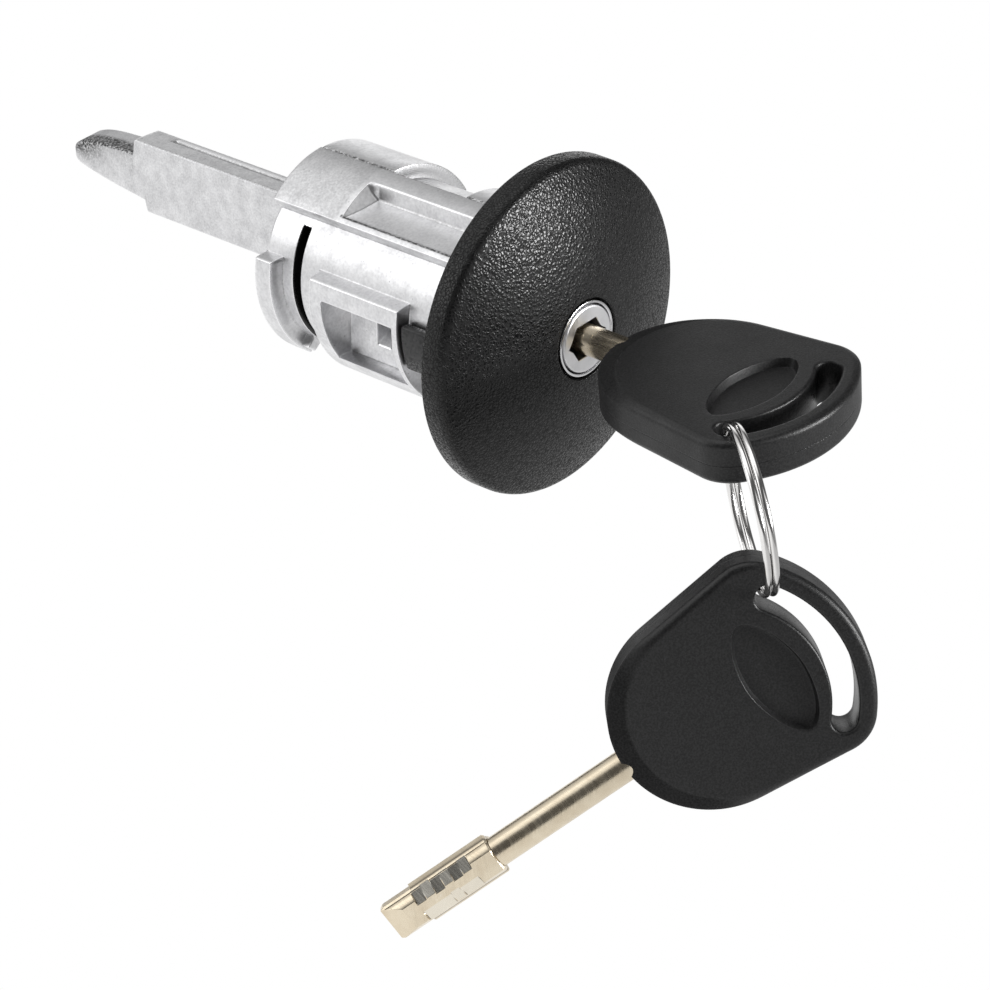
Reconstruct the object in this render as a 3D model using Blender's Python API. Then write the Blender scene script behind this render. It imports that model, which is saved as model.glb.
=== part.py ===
"""Door lock barrel with its flat tailpiece, dome cover, two keys and split ring.

Lengths below are millimetres; the model is built in metres. The lock axis is
the world Y axis: the key goes in from -Y and the tail points to +Y. World Z is
up. The origin is the centre of the dome's back rim, which seats on the door.
Angles round the lock axis are degrees from +X towards +Z.
"""
import math

import bmesh
import bpy
from mathutils import Matrix, Vector

MM = 0.001

# Clearances
SEAT_GAP = 0.3            # between pieces that touch
RUN_GAP = 0.3             # round a piece that turns
BLIND = 1.0               # how far a cutter runs past the face it opens
EMBED = 0.8               # how far a joined form reaches into its parent

# Dome cover
DOME_RADIUS = 26.0
DOME_RIM_LEAN = 0.4
DOME_CREASE_RADIUS = DOME_RADIUS - DOME_RIM_LEAN
DOME_CREASE_HEIGHT = 3.8
DOME_RIM_FILLET = 0.7
DOME_FACE_HEIGHT = 9.0
DOME_HOLE_RADIUS = 6.25
DOME_WALL = 2.0
DOME_RIM_WALL = 2.4
DOME_COLLAR_WALL = 1.6
TAB_WIDTH_DEG = 27.0
TAB_CENTRES_DEG = (190.0, 10.0)
TAB_THICKNESS = 1.7

# Barrel
BARREL_RADIUS = 14.6
PAD_HEIGHT = 2.4
PAD_RADIUS = BARREL_RADIUS + PAD_HEIGHT
BARREL_END = 43.3
BORE_RADIUS = 10.0
BORE_FRONT = 1.0
FLANGE_CLEARANCE = 3.6
FLANGE_RADIUS = DOME_RADIUS - DOME_RIM_WALL - FLANGE_CLEARANCE
FLANGE_FRONT = -3.2
FLANGE_BACK = -0.4
NECK_RADIUS = 8.6
NECK_FRONT = -5.2
NOSE_RADIUS = 5.2

# Pads, window, pocket and slot on the barrel
RIDGE_DEG = 98.0
PAD_EDGE_DEG = 138.0
REAR_BLOCK_EDGE_DEG = 31.0
REAR_BLOCK_START = 28.0
FRONT_BLOCK_EDGE_DEG = 62.0
FRONT_BLOCK_END = 13.5
POCKET_NORMAL_DEG = 125.0
POCKET_DEPTH = 2.6
POCKET_FLOOR = PAD_RADIUS - POCKET_DEPTH
POCKET_LOW = -3.4
POCKET_HIGH = 4.1
POCKET_END = 28.4
POCKET_END_SLOPE = 1.2
FRAME_TOP_DEG = 167.2
FRAME_TOP_SLOPE_DEG = 2.4
FRAME_BOTTOM_DEG = 240.0
FRAME_START = 13.3
FRAME_END = 31.8
WINDOW_START = 14.7
WINDOW_END = 28.9
WINDOW_TOP = 0.0
WINDOW_BOTTOM = -10.2
WINDOW_FLOOR = 11.0
SENSOR_HOLE_START = 20.4
SENSOR_HOLE_END = 23.0
SENSOR_HOLE_TOP = -3.3
SENSOR_HOLE_BOTTOM = -7.0
COLLAR_TOP_DEG = 167.0
COLLAR_BOTTOM_DEG = 240.0
COLLAR_START = 39.75
BRIDGE_START_DEG = 229.0
BRIDGE_END_DEG = 236.0
BRIDGE_START = 38.1
SLOT_START = 35.9
SLOT_WIDTH = 1.4
SLOT_TOP_DEG = 145.0
SLOT_BOTTOM_DEG = 236.0
SIDEBAR_GROOVE_DEPTH = 1.3

# Plug: carrier, discs, spacers and sidebar
CARRIER_END = 33.0
CAVITY_RADIUS = 6.4
FACE_DISC_FRONT = -9.1
FACE_DISC_THICKNESS = 1.9
FACE_FRONT = -8.97
NOSE_HOLE_RADIUS = 4.5
DISC_COUNT = 6
DISC_PITCH = 1.575
DISC_THICKNESS = 0.75
SPACER_THICKNESS = 0.225
GATE_DEPTH = 1.3
FALSE_GATE_DEPTH = 0.5
FALSE_GATE_STEP_DEG = 24.0
SIDEBAR_WIDTH = 2.0
SIDEBAR_TOP = 9.3
SIDEBAR_BEVEL = 0.7
FERRULE_RADIUS = 5.9
FERRULE_WALL = 0.45

# Tailpiece and its clip
HUB_END = 42.8
HUB_GROOVE_RADIUS = 8.1
CLIP_THICKNESS = 0.9
CLIP_RADIUS = 12.6
CLIP_GROOVE_STEP = 0.1
CLIP_SPAN_DEG = 240.0
CLIP_CENTRE_DEG = 190.0
TONGUE_LENGTH = 2.2
TONGUE_WIDTH = 3.0
TONGUE_HALF_SPAN = 8.0
TAIL_THICKNESS = 5.56
TAIL_TOP = 7.0
TAIL_BOTTOM = -5.1
TAIL_END = 85.8
TAIL_CHAMFER = 0.5
TAIL_GROOVE_SIDE = 0.6
TAIL_GROOVE_WIDTH = 0.9
TAIL_GROOVE_DEPTH = 0.5
TAIL_GROOVE_STOP = 5.8
TIP_LENGTH = 16.2
TIP_TOP_STEP = 2.3
TIP_BOTTOM_STEP = 1.9
TIP_SHOULDER = 2.4
TIP_NOSE_HEIGHT = 1.9

# Key: along S from its tip, W across the head, N out of the head's face
KEY_INSERTION = 24.6
KEY_ROLL_DEG = 6.2
BIT_LENGTH = 18.3
BIT_CORE_NEAR = 1.75
BIT_CORE_FAR = 2.0
BIT_CORE_HALF_HEIGHT = 2.15
BIT_RIB_REACH = 3.4
BIT_RIB_SHOULDER = 2.6
BIT_RIB_HEIGHT = 0.75
BIT_RIB_FOOT = 2.85
BIT_RIB_DROP = 0.6
BIT_TIP_LENGTH = 3.0
BIT_TIP_HALF_HEIGHT = 0.6
BIT_TIP_HALF_WIDTH = 2.8
RIB_START = 4.9
KEYWAY_CLEARANCE = 0.55
CUT_START = 5.2
CUT_MEAN_DEG = 55.0
UPPER_CUTS = ((55.0, 2.18), (52.0, 2.22), (58.0, 2.14), (53.0, 2.24), (57.0, 2.16), (54.0, 2.20))
LOWER_CUTS = ((112.0, 2.20), (112.0, 2.20), (112.0, 2.20), (107.0, 2.17), (113.0, 2.22), (113.0, 2.22))
NECK_DIAMETER = 4.6
TANG_WIDTH = 8.0
TANG_THICKNESS = 2.4
TANG_LENGTH = 13.0
HEAD_NEAR_CENTRE = 55.0
HEAD_NEAR_RADIUS = 14.6
HEAD_CORNER_CENTRE = 68.3
HEAD_CORNER_OFFSET = 9.9
HEAD_CORNER_RADIUS = 6.2
HEAD_FAR_CENTRE = 56.4
HEAD_FRONT_REACH = 3.0
HEAD_BACK_REACH = 3.8
HEAD_BEVEL = 1.15
HEAD_NEAR_BEVEL = 3.1
HEAD_BEVEL_DEPTH = 1.0
HEAD_SEAM = -0.7
SEAM_GAP = 0.12
RING_SLOT_RADIUS = 17.2
RING_SLOT_WIDTH = 3.7
RING_SLOT_START_DEG = -42.0
RING_SLOT_END_DEG = 33.5
RING_SLOT_BEVEL = 0.5
LENS_CENTRE = 65.0
LENS_OFFSET = -0.6
LENS_HALF_LENGTH = 9.3
LENS_HALF_WIDTH = 4.3
LENS_POWER = 1.75
LENS_STEPS = 32
LENS_DEPTH = 1.3
LENS_DRAFT = 0.6

# Split ring
RING_RADIUS = 11.68
RING_WIRE = 1.0
RING_COIL_PITCH = 1.1
RING_OPEN_DEG = 20.0

# Places of the ring and of the hanging key
RING_CENTRE = Vector((-17.21, -53.14, -5.85))
RING_NORMAL = Vector((0.7690, -0.6178, 0.1643)).normalized()
RING_WIRE_ENDS = Vector((-0.637, -0.720, 0.276))
RING_HINGE = Vector((-13.34, -47.16, -1.45))
KEY2_TIP = Vector((-59.26, -24.71, -65.38))
KEY2_ALONG = Vector((0.63320, -0.51977, 0.57350)).normalized()
KEY2_ACROSS = Vector((-0.30300, 0.51536, 0.80163))
KEY2_HINGE_S = 70.67
KEY2_HINGE_W = 9.73

# Where the stack of discs lies, from the cuts of the seated key
STACK_FRONT = KEY_INSERTION - CUT_START - DISC_COUNT * DISC_PITCH + (DISC_PITCH - DISC_THICKNESS) / 2
STACK_BACK = KEY_INSERTION - CUT_START - (DISC_PITCH - DISC_THICKNESS) / 2
CAVITY_START = STACK_FRONT - SEAT_GAP

# Mesh fineness
TURN_STEPS = 64
SMALL_TURN_STEPS = 40
DISC_STEPS = 28
SECTOR_STEP_DEG = 6.0
WIRE_SIDES = 8
RING_STEPS = 44
SHARP_DEG = 32.0

# Finishes: colour, roughness, metallic
ZINC = ("die_cast_zinc", (0.66, 0.66, 0.67), 0.42, 1.0)
BLACK = ("grained_black", (0.018, 0.018, 0.019), 0.5, 0.0)
STEEL = ("turned_steel", (0.72, 0.72, 0.73), 0.25, 1.0)
BRASS = ("disc_brass", (0.72, 0.58, 0.30), 0.35, 1.0)
NICKEL = ("nickel_silver", (0.66, 0.62, 0.50), 0.28, 1.0)
HEAD_BLACK = ("moulded_black", (0.016, 0.016, 0.017), 0.42, 0.0)
CHROME = ("ring_chrome", (0.80, 0.80, 0.82), 0.12, 1.0)
SPRING = ("spring_steel", (0.30, 0.30, 0.31), 0.4, 1.0)


def clear_scene():
    """Remove what a new file holds, so that only the lock is left."""
    for item in list(bpy.data.objects):
        bpy.data.objects.remove(item, do_unlink=True)
    for mesh in list(bpy.data.meshes):
        bpy.data.meshes.remove(mesh)


def finish_material(finish, name):
    """A material of its own for one piece."""
    _, colour, roughness, metallic = finish
    material = bpy.data.materials.new(name)
    material.use_nodes = True
    shader = material.node_tree.nodes["Principled BSDF"]
    shader.inputs["Base Color"].default_value = (*colour, 1.0)
    shader.inputs["Roughness"].default_value = roughness
    shader.inputs["Metallic"].default_value = metallic
    return material


def object_from_rings(name, rings, caps=True, closed=False):
    """Join rings of points, each with as many points, into a closed solid."""
    mesh = bpy.data.meshes.new(name)
    build = bmesh.new()
    loops = [[build.verts.new(Vector(point) * MM) for point in ring] for ring in rings]
    pairs = list(zip(loops, loops[1:]))
    if closed:
        pairs.append((loops[-1], loops[0]))
    for first, second in pairs:
        count = len(first)
        for index in range(count):
            after = (index + 1) % count
            build.faces.new((first[index], first[after], second[after], second[index]))
    if caps and not closed:
        build.faces.new(loops[0])
        build.faces.new(loops[-1])
    bmesh.ops.remove_doubles(build, verts=build.verts, dist=1e-7)
    bmesh.ops.recalc_face_normals(build, faces=build.faces)
    build.to_mesh(mesh)
    build.free()
    made = bpy.data.objects.new(name, mesh)
    bpy.context.scene.collection.objects.link(made)
    return made


def turned(name, profile, steps=TURN_STEPS):
    """Turn a closed profile of (radius, y) points round the lock axis."""
    rings = []
    for step in range(steps):
        angle = math.tau * step / steps
        rings.append([(radius * math.cos(angle), y, radius * math.sin(angle))
                      for radius, y in profile])
    return object_from_rings(name, rings, closed=True)


def along_axis(name, outline, start, end):
    """Extrude an (x, z) outline along the lock axis."""
    return object_from_rings(name, [[(x, start, z) for x, z in outline],
                                    [(x, end, z) for x, z in outline]])


def arc(radius, start_deg, end_deg, step_deg=SECTOR_STEP_DEG, centre=(0.0, 0.0), count=0):
    """Points on an arc, from one angle to the other, by step or by count."""
    count = count or max(1, math.ceil(abs(end_deg - start_deg) / step_deg))
    points = []
    for index in range(count + 1):
        angle = math.radians(start_deg + (end_deg - start_deg) * index / count)
        points.append((centre[0] + radius * math.cos(angle),
                       centre[1] + radius * math.sin(angle)))
    return points


def sector(name, inner, outer, start_deg, end_deg, start, end, slope_deg=0.0):
    """A block between two radii and two angles, its first side sloped."""
    outline = (arc(inner, start_deg, end_deg)
               + arc(outer, end_deg, start_deg + slope_deg))
    return along_axis(name, outline, start, end)


def block(name, low, high):
    """A box between two corners."""
    outline = [(low[0], low[2]), (high[0], low[2]), (high[0], high[2]), (low[0], high[2])]
    return along_axis(name, outline, low[1], high[1])


def combine(target, tool, operation):
    """Apply a Boolean to a piece and remove its tool."""
    modifier = target.modifiers.new(operation.title(), "BOOLEAN")
    modifier.operation = operation
    modifier.solver = "EXACT"
    modifier.object = tool
    graph = bpy.context.evaluated_depsgraph_get()
    result = bpy.data.meshes.new_from_object(target.evaluated_get(graph))
    target.modifiers.clear()
    before = target.data
    target.data = result
    result.name = target.name
    bpy.data.meshes.remove(before)
    bpy.data.objects.remove(tool, do_unlink=True)


def join(target, *tools):
    """Add forms to a piece."""
    for tool in tools:
        combine(target, tool, "UNION")


def cut(target, *tools):
    """Cut forms out of a piece."""
    for tool in tools:
        combine(target, tool, "DIFFERENCE")


def spun(made, degrees):
    """Turn a form round the lock axis, in its mesh."""
    made.data.transform(Matrix.Rotation(math.radians(-degrees), 4, "Y"))
    return made


def finished(made, finish, smooth=True):
    """Give a piece its material and its shading."""
    made.data.materials.clear()
    made.data.materials.append(finish_material(finish, made.name))
    if smooth:
        made.data.shade_smooth()
        made.data.set_sharp_from_angle(angle=math.radians(SHARP_DEG))
    return made


def offset_outline(points, distance):
    """Move each side of a closed outline outwards by a distance."""
    count = len(points)
    moved = []
    for index in range(count):
        before = Vector(points[index - 1])
        here = Vector(points[index])
        after = Vector(points[(index + 1) % count])
        side_in = (here - before).normalized()
        side_out = (after - here).normalized()
        normal_in = Vector((side_in.y, -side_in.x))
        normal_out = Vector((side_out.y, -side_out.x))
        middle = (normal_in + normal_out).normalized()
        moved.append(here + middle * (distance / middle.dot(normal_in)))
    return moved


def bit_outline():
    """The key bit's section as (w, n), the same when turned half round."""
    half = [(-BIT_CORE_NEAR, -BIT_CORE_HALF_HEIGHT),
            (BIT_CORE_FAR, -BIT_CORE_HALF_HEIGHT),
            (BIT_RIB_FOOT, -BIT_RIB_DROP),
            (BIT_RIB_REACH, 0.0),
            (BIT_RIB_SHOULDER, BIT_RIB_HEIGHT)]
    return half + [(-w, -n) for w, n in half]


def keyway_outline():
    """The keyway's section as (x, z), rolled with the key."""
    roll = math.radians(KEY_ROLL_DEG)
    return [(w * math.cos(roll) - n * math.sin(roll), w * math.sin(roll) + n * math.cos(roll))
            for w, n in offset_outline(bit_outline(), KEYWAY_CLEARANCE)]


def crown_height(radius):
    """How far the dome's face stands forward of its seat at a radius."""
    rise = DOME_FACE_HEIGHT - DOME_CREASE_HEIGHT
    depth = ((DOME_CREASE_RADIUS ** 2 - DOME_HOLE_RADIUS ** 2 - rise ** 2) / (2.0 * rise))
    sphere = math.hypot(DOME_HOLE_RADIUS, depth + rise)
    return DOME_CREASE_HEIGHT + math.sqrt(sphere ** 2 - radius ** 2) - depth


def build_dome():
    """The dome cover: rim, crown, seat collar and two clip tabs."""
    steps = 8
    fillet = DOME_RIM_FILLET
    outer = [(DOME_RADIUS, 0.0), (DOME_RADIUS - 0.05, -(DOME_CREASE_HEIGHT - fillet))]
    outer.append((DOME_CREASE_RADIUS + 0.1, -(DOME_CREASE_HEIGHT - 0.3 * fillet)))
    span = DOME_CREASE_RADIUS - fillet - DOME_HOLE_RADIUS
    for index in range(steps + 1):
        radius = DOME_CREASE_RADIUS - fillet - span * index / steps
        outer.append((radius, -crown_height(radius)))
    collar = DOME_HOLE_RADIUS + DOME_COLLAR_WALL
    collar_back = NECK_FRONT - SEAT_GAP
    inner = [(DOME_HOLE_RADIUS, collar_back), (collar, collar_back)]
    rim_inside = DOME_RADIUS - DOME_RIM_WALL
    inner_steps = 3
    for index in range(inner_steps + 1):
        radius = collar + (rim_inside - 0.2 - collar) * index / inner_steps
        inner.append((radius, -(crown_height(radius) - DOME_WALL)))
    inner.append((rim_inside, 0.0))
    dome = turned("dome_cover", outer + inner)
    tab_inner = BARREL_RADIUS + SEAT_GAP
    tab_outer = tab_inner + TAB_THICKNESS
    tab_front = -(crown_height(tab_outer) - DOME_WALL + EMBED)
    for centre in TAB_CENTRES_DEG:
        join(dome, sector("tab", tab_inner, tab_outer, centre - TAB_WIDTH_DEG / 2,
                          centre + TAB_WIDTH_DEG / 2, tab_front, FRAME_START - SEAT_GAP))
    return finished(dome, BLACK)


def pocket_cutter():
    """The long flat-floored pocket beside the ridge, open towards the dome."""
    normal = math.radians(POCKET_NORMAL_DEG)
    out = Vector((math.cos(normal), math.sin(normal)))
    side = Vector((math.sin(normal), -math.cos(normal)))
    top = PAD_RADIUS + BLIND
    rings = []
    for y_floor, y_top in ((FLANGE_BACK + SEAT_GAP, FLANGE_BACK + SEAT_GAP),
                           (POCKET_END - POCKET_END_SLOPE, POCKET_END + 0.8)):
        ring = []
        for across, height, y in ((POCKET_LOW, POCKET_FLOOR, y_floor),
                                  (POCKET_HIGH, POCKET_FLOOR, y_floor),
                                  (POCKET_HIGH + 0.3, top, y_top),
                                  (POCKET_LOW - 0.1, top, y_top)):
            place = out * height + side * across
            ring.append((place.x, y, place.y))
        rings.append(ring)
    return object_from_rings("pocket", rings)


def build_housing():
    """The die-cast barrel with its pads, window frame, pocket and slots."""
    nose_hole = FERRULE_RADIUS - FERRULE_WALL
    body = turned("housing_barrel", [
        (nose_hole, NECK_FRONT), (NECK_RADIUS, NECK_FRONT), (NECK_RADIUS, FLANGE_FRONT),
        (FLANGE_RADIUS, FLANGE_FRONT), (FLANGE_RADIUS, FLANGE_BACK),
        (BARREL_RADIUS, FLANGE_BACK), (BARREL_RADIUS, BARREL_END),
        (BORE_RADIUS, BARREL_END), (BORE_RADIUS, BORE_FRONT), (nose_hole, BORE_FRONT)])
    root = BARREL_RADIUS - EMBED
    front = FLANGE_BACK - EMBED
    join(body,
         sector("pad", root, PAD_RADIUS, RIDGE_DEG - 1.5, PAD_EDGE_DEG, front, BARREL_END),
         sector("rear", root, PAD_RADIUS - 0.15, REAR_BLOCK_EDGE_DEG, RIDGE_DEG,
                REAR_BLOCK_START, BARREL_END),
         sector("front", root, PAD_RADIUS - 0.15, FRONT_BLOCK_EDGE_DEG, RIDGE_DEG,
                front, FRONT_BLOCK_END),
         sector("frame", root, PAD_RADIUS, FRAME_TOP_DEG - FRAME_TOP_SLOPE_DEG,
                FRAME_BOTTOM_DEG, FRAME_START, FRAME_END, 2 * FRAME_TOP_SLOPE_DEG),
         sector("collar", root, PAD_RADIUS, COLLAR_TOP_DEG, COLLAR_BOTTOM_DEG,
                COLLAR_START, BARREL_END, FRAME_TOP_SLOPE_DEG),
         sector("bridge", root, PAD_RADIUS - 0.4, BRIDGE_START_DEG, BRIDGE_END_DEG,
                BRIDGE_START, COLLAR_START + EMBED))
    far = PAD_RADIUS + BLIND
    tab_room = TAB_WIDTH_DEG / 2 + 1.5
    tab_outer = BARREL_RADIUS + SEAT_GAP + TAB_THICKNESS + SEAT_GAP
    groove_start = SLOT_START - CLIP_GROOVE_STEP
    groove_end = SLOT_START + SLOT_WIDTH + CLIP_GROOVE_STEP
    cut(body,
        pocket_cutter(),
        block("window", (-far, WINDOW_START, WINDOW_BOTTOM), (-WINDOW_FLOOR, WINDOW_END, WINDOW_TOP)),
        block("hole", (-WINDOW_FLOOR - BLIND, SENSOR_HOLE_START, SENSOR_HOLE_BOTTOM),
              (-BORE_RADIUS + 5.0, SENSOR_HOLE_END, SENSOR_HOLE_TOP)),
        sector("slot", BORE_RADIUS - BLIND, far, SLOT_TOP_DEG, SLOT_BOTTOM_DEG,
               SLOT_START, SLOT_START + SLOT_WIDTH),
        turned("groove", [(BORE_RADIUS - BLIND, groove_start),
                          (CLIP_RADIUS + SEAT_GAP, groove_start),
                          (CLIP_RADIUS + SEAT_GAP, groove_end),
                          (BORE_RADIUS - BLIND, groove_end)]),
        block("sidebar_groove",
              (-SIDEBAR_WIDTH / 2 - RUN_GAP, CAVITY_START, BORE_RADIUS - BLIND),
              (SIDEBAR_WIDTH / 2 + RUN_GAP, STACK_BACK + SEAT_GAP,
               BORE_RADIUS + SIDEBAR_GROOVE_DEPTH)))
    for centre in TAB_CENTRES_DEG:
        cut(body, sector("tab_room", BARREL_RADIUS - SEAT_GAP, tab_outer, centre - tab_room,
                         centre + tab_room, FLANGE_FRONT - BLIND, FLANGE_BACK + BLIND))
    return finished(body, ZINC)


def build_ferrule():
    """The bright ring round the plug's face."""
    inner = FERRULE_RADIUS - FERRULE_WALL
    back = NECK_FRONT - SEAT_GAP
    ferrule = turned("face_ferrule", [
        (inner, back), (inner, -(-FACE_FRONT - 0.15)), (inner + 0.15, FACE_FRONT),
        (FERRULE_RADIUS - 0.12, FACE_FRONT), (FERRULE_RADIUS, FACE_FRONT + 0.12),
        (FERRULE_RADIUS, back)], SMALL_TURN_STEPS)
    return finished(ferrule, STEEL)


def build_face_disc():
    """The plug's face, with the keyway through it."""
    back = FACE_DISC_FRONT + FACE_DISC_THICKNESS
    edge = 0.2
    disc = turned("face_disc", [(0.0, FACE_DISC_FRONT), (NOSE_RADIUS - edge, FACE_DISC_FRONT),
                                (NOSE_RADIUS, FACE_DISC_FRONT + edge), (NOSE_RADIUS, back),
                                (0.0, back)], SMALL_TURN_STEPS)
    cut(disc, along_axis("keyway", keyway_outline(), FACE_DISC_FRONT - BLIND, back + BLIND))
    return finished(disc, STEEL)


def gate(half_width, depth_radius, start, end):
    """A notch at the top of a disc, down to a radius."""
    return block("gate", (-half_width, start, depth_radius),
                 (half_width, end, CAVITY_RADIUS + BLIND))


def build_carrier():
    """The plug's carrier: nose, disc cage, sidebar slot and drive slot."""
    nose_front = FACE_DISC_FRONT + FACE_DISC_THICKNESS + SEAT_GAP
    outer = BORE_RADIUS - RUN_GAP
    shoulder = BORE_FRONT + RUN_GAP
    body = turned("plug_carrier", [
        (NOSE_HOLE_RADIUS, nose_front), (NOSE_RADIUS, nose_front), (NOSE_RADIUS, shoulder),
        (outer, shoulder), (outer, CARRIER_END), (CAVITY_RADIUS, CARRIER_END),
        (CAVITY_RADIUS, CAVITY_START), (NOSE_HOLE_RADIUS, CAVITY_START)], SMALL_TURN_STEPS)
    half = SIDEBAR_WIDTH / 2 + RUN_GAP
    cut(body,
        block("sidebar_slot", (-half, CAVITY_START, CAVITY_RADIUS - BLIND),
              (half, STACK_BACK + SEAT_GAP, BORE_RADIUS + BLIND)),
        block("drive_slot", (-TONGUE_HALF_SPAN - SEAT_GAP, CARRIER_END - TONGUE_LENGTH - SEAT_GAP,
                             -TONGUE_WIDTH / 2 - SEAT_GAP),
              (TONGUE_HALF_SPAN + SEAT_GAP, CARRIER_END + BLIND, TONGUE_WIDTH / 2 + SEAT_GAP)))
    return finished(body, ZINC)


def disc_middle(index):
    """Where the disc of one key cut lies on the lock axis."""
    return KEY_INSERTION - CUT_START - DISC_PITCH * (index + 0.5)


def build_discs():
    """The code discs and the spacers between them."""
    radius = CAVITY_RADIUS - RUN_GAP
    half_gate = SIDEBAR_WIDTH / 2 + RUN_GAP
    made = []
    for index in range(DISC_COUNT):
        middle = disc_middle(index)
        start = middle - DISC_THICKNESS / 2
        end = middle + DISC_THICKNESS / 2
        disc = turned(f"disc_{index + 1}", [(0.0, start), (radius, start), (radius, end), (0.0, end)],
                      DISC_STEPS)
        notch = gate(half_gate, radius - FALSE_GATE_DEPTH, start - BLIND, end + BLIND)
        code = UPPER_CUTS[index][0] - CUT_MEAN_DEG
        side = 1 if code > 0 else -1
        cut(disc,
            along_axis("aperture", keyway_outline(), start - BLIND, end + BLIND),
            gate(half_gate, radius - GATE_DEPTH, start - BLIND, end + BLIND),
            spun(notch, side * FALSE_GATE_STEP_DEG + 3.0 * code))
        made.append(finished(disc, BRASS))
    for index in range(DISC_COUNT - 1):
        middle = (disc_middle(index) + disc_middle(index + 1)) / 2
        start = middle - SPACER_THICKNESS / 2
        end = middle + SPACER_THICKNESS / 2
        spacer = turned(f"spacer_{index + 1}", [(NOSE_HOLE_RADIUS, start), (radius, start),
                                                (radius, end), (NOSE_HOLE_RADIUS, end)],
                        DISC_STEPS)
        cut(spacer, gate(half_gate, radius - GATE_DEPTH, start - BLIND, end + BLIND))
        made.append(finished(spacer, STEEL))
    return made


def build_sidebar():
    """The sidebar, dropped into the gates of the lined-up discs."""
    half = SIDEBAR_WIDTH / 2
    foot = CAVITY_RADIUS - RUN_GAP - GATE_DEPTH + SEAT_GAP
    bar = along_axis("sidebar", [(-half, foot), (half, foot), (half, SIDEBAR_TOP - SIDEBAR_BEVEL),
                                 (half - SIDEBAR_BEVEL, SIDEBAR_TOP),
                                 (-half + SIDEBAR_BEVEL, SIDEBAR_TOP),
                                 (-half, SIDEBAR_TOP - SIDEBAR_BEVEL)],
                     STACK_FRONT, STACK_BACK)
    return finished(bar, STEEL, smooth=False)


def tail_tip():
    """The tapered tip, cut to a bullet shape in plan."""
    top_start = TAIL_TOP - TIP_TOP_STEP
    bottom_start = TAIL_BOTTOM + TIP_BOTTOM_STEP
    nose = TAIL_END + TIP_LENGTH
    half = TAIL_THICKNESS / 2
    start = TAIL_END - TIP_SHOULDER - EMBED
    nose_middle = 0.5
    side = [(start, bottom_start - 0.2), (start, top_start + 0.1)]
    for share in (0.35, 0.62, 0.82, 0.94):
        y = TAIL_END + TIP_LENGTH * share
        drop = share ** 2.6
        side.append((y, top_start + (nose_middle + TIP_NOSE_HEIGHT / 2 - top_start) * drop))
    side.append((nose, nose_middle + 0.4))
    side.append((nose, nose_middle - 0.4))
    side.append((nose - 1.6, nose_middle - TIP_NOSE_HEIGHT / 2))
    tip = object_from_rings("tip", [[(-half, y, z) for y, z in side], [(half, y, z) for y, z in side]])
    nose_arc = arc(half, 0.0, 180.0, 20.0, (0.0, nose - half))
    plan = [(-half - BLIND, nose - half), (-half - BLIND, nose + BLIND),
            (half + BLIND, nose + BLIND), (half + BLIND, nose - half)] + nose_arc
    keep = object_from_rings("plan", [[(x, y, TAIL_BOTTOM - BLIND) for x, y in plan],
                                      [(x, y, TAIL_TOP + BLIND) for x, y in plan]])
    cut(tip, keep)
    return tip


def build_tail():
    """The tailpiece: hub with clip groove, drive tongue and flat bar."""
    hub = BORE_RADIUS - RUN_GAP
    spigot = CAVITY_RADIUS - RUN_GAP
    hub_start = CARRIER_END + SEAT_GAP
    spigot_start = STACK_BACK + SEAT_GAP
    spigot_floor = KEY_INSERTION + 1.0
    groove_start = SLOT_START - (SLOT_WIDTH - CLIP_THICKNESS)
    groove_end = SLOT_START + SLOT_WIDTH + (SLOT_WIDTH - CLIP_THICKNESS)
    tail = turned("tailpiece", [
        (0.0, spigot_floor), (NOSE_HOLE_RADIUS, spigot_floor), (NOSE_HOLE_RADIUS, spigot_start),
        (spigot, spigot_start), (spigot, hub_start), (hub, hub_start),
        (hub, groove_start), (HUB_GROOVE_RADIUS, groove_start), (HUB_GROOVE_RADIUS, groove_end),
        (hub, groove_end), (hub, HUB_END), (0.0, HUB_END)], SMALL_TURN_STEPS)
    half = TAIL_THICKNESS / 2
    bevel = TAIL_CHAMFER
    section = [(-half, TAIL_BOTTOM + bevel), (-half + bevel, TAIL_BOTTOM),
               (half - bevel, TAIL_BOTTOM), (half, TAIL_BOTTOM + bevel),
               (half, TAIL_TOP - bevel), (half - bevel, TAIL_TOP),
               (-half + bevel, TAIL_TOP), (-half, TAIL_TOP - bevel)]
    bar = along_axis("bar", section, HUB_END - EMBED, TAIL_END)
    cut(bar,
        block("shoulder", (-half - BLIND, TAIL_END - TIP_SHOULDER, TAIL_BOTTOM - BLIND),
              (half + BLIND, TAIL_END + BLIND, TAIL_BOTTOM + TIP_BOTTOM_STEP)),
        block("line", (TAIL_GROOVE_SIDE, BARREL_END - BLIND, TAIL_TOP - TAIL_GROOVE_DEPTH),
              (TAIL_GROOVE_SIDE + TAIL_GROOVE_WIDTH, TAIL_END - TAIL_GROOVE_STOP, TAIL_TOP + BLIND)))
    join(bar, tail_tip())
    tongue = block("tongue", (-TONGUE_HALF_SPAN, hub_start - TONGUE_LENGTH, -TONGUE_WIDTH / 2),
                   (TONGUE_HALF_SPAN, hub_start + EMBED, TONGUE_WIDTH / 2))
    join(tail, tongue, bar)
    return finished(tail, ZINC)


def build_clip():
    """The spring clip that sits in the barrel's slot and the hub's groove."""
    inner = HUB_GROOVE_RADIUS + RUN_GAP
    start = SLOT_START + (SLOT_WIDTH - CLIP_THICKNESS) / 2
    half = CLIP_SPAN_DEG / 2
    clip = sector("retaining_clip", inner, CLIP_RADIUS, CLIP_CENTRE_DEG - half,
                  CLIP_CENTRE_DEG + half, start, start + CLIP_THICKNESS)
    return finished(clip, SPRING, smooth=False)


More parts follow.
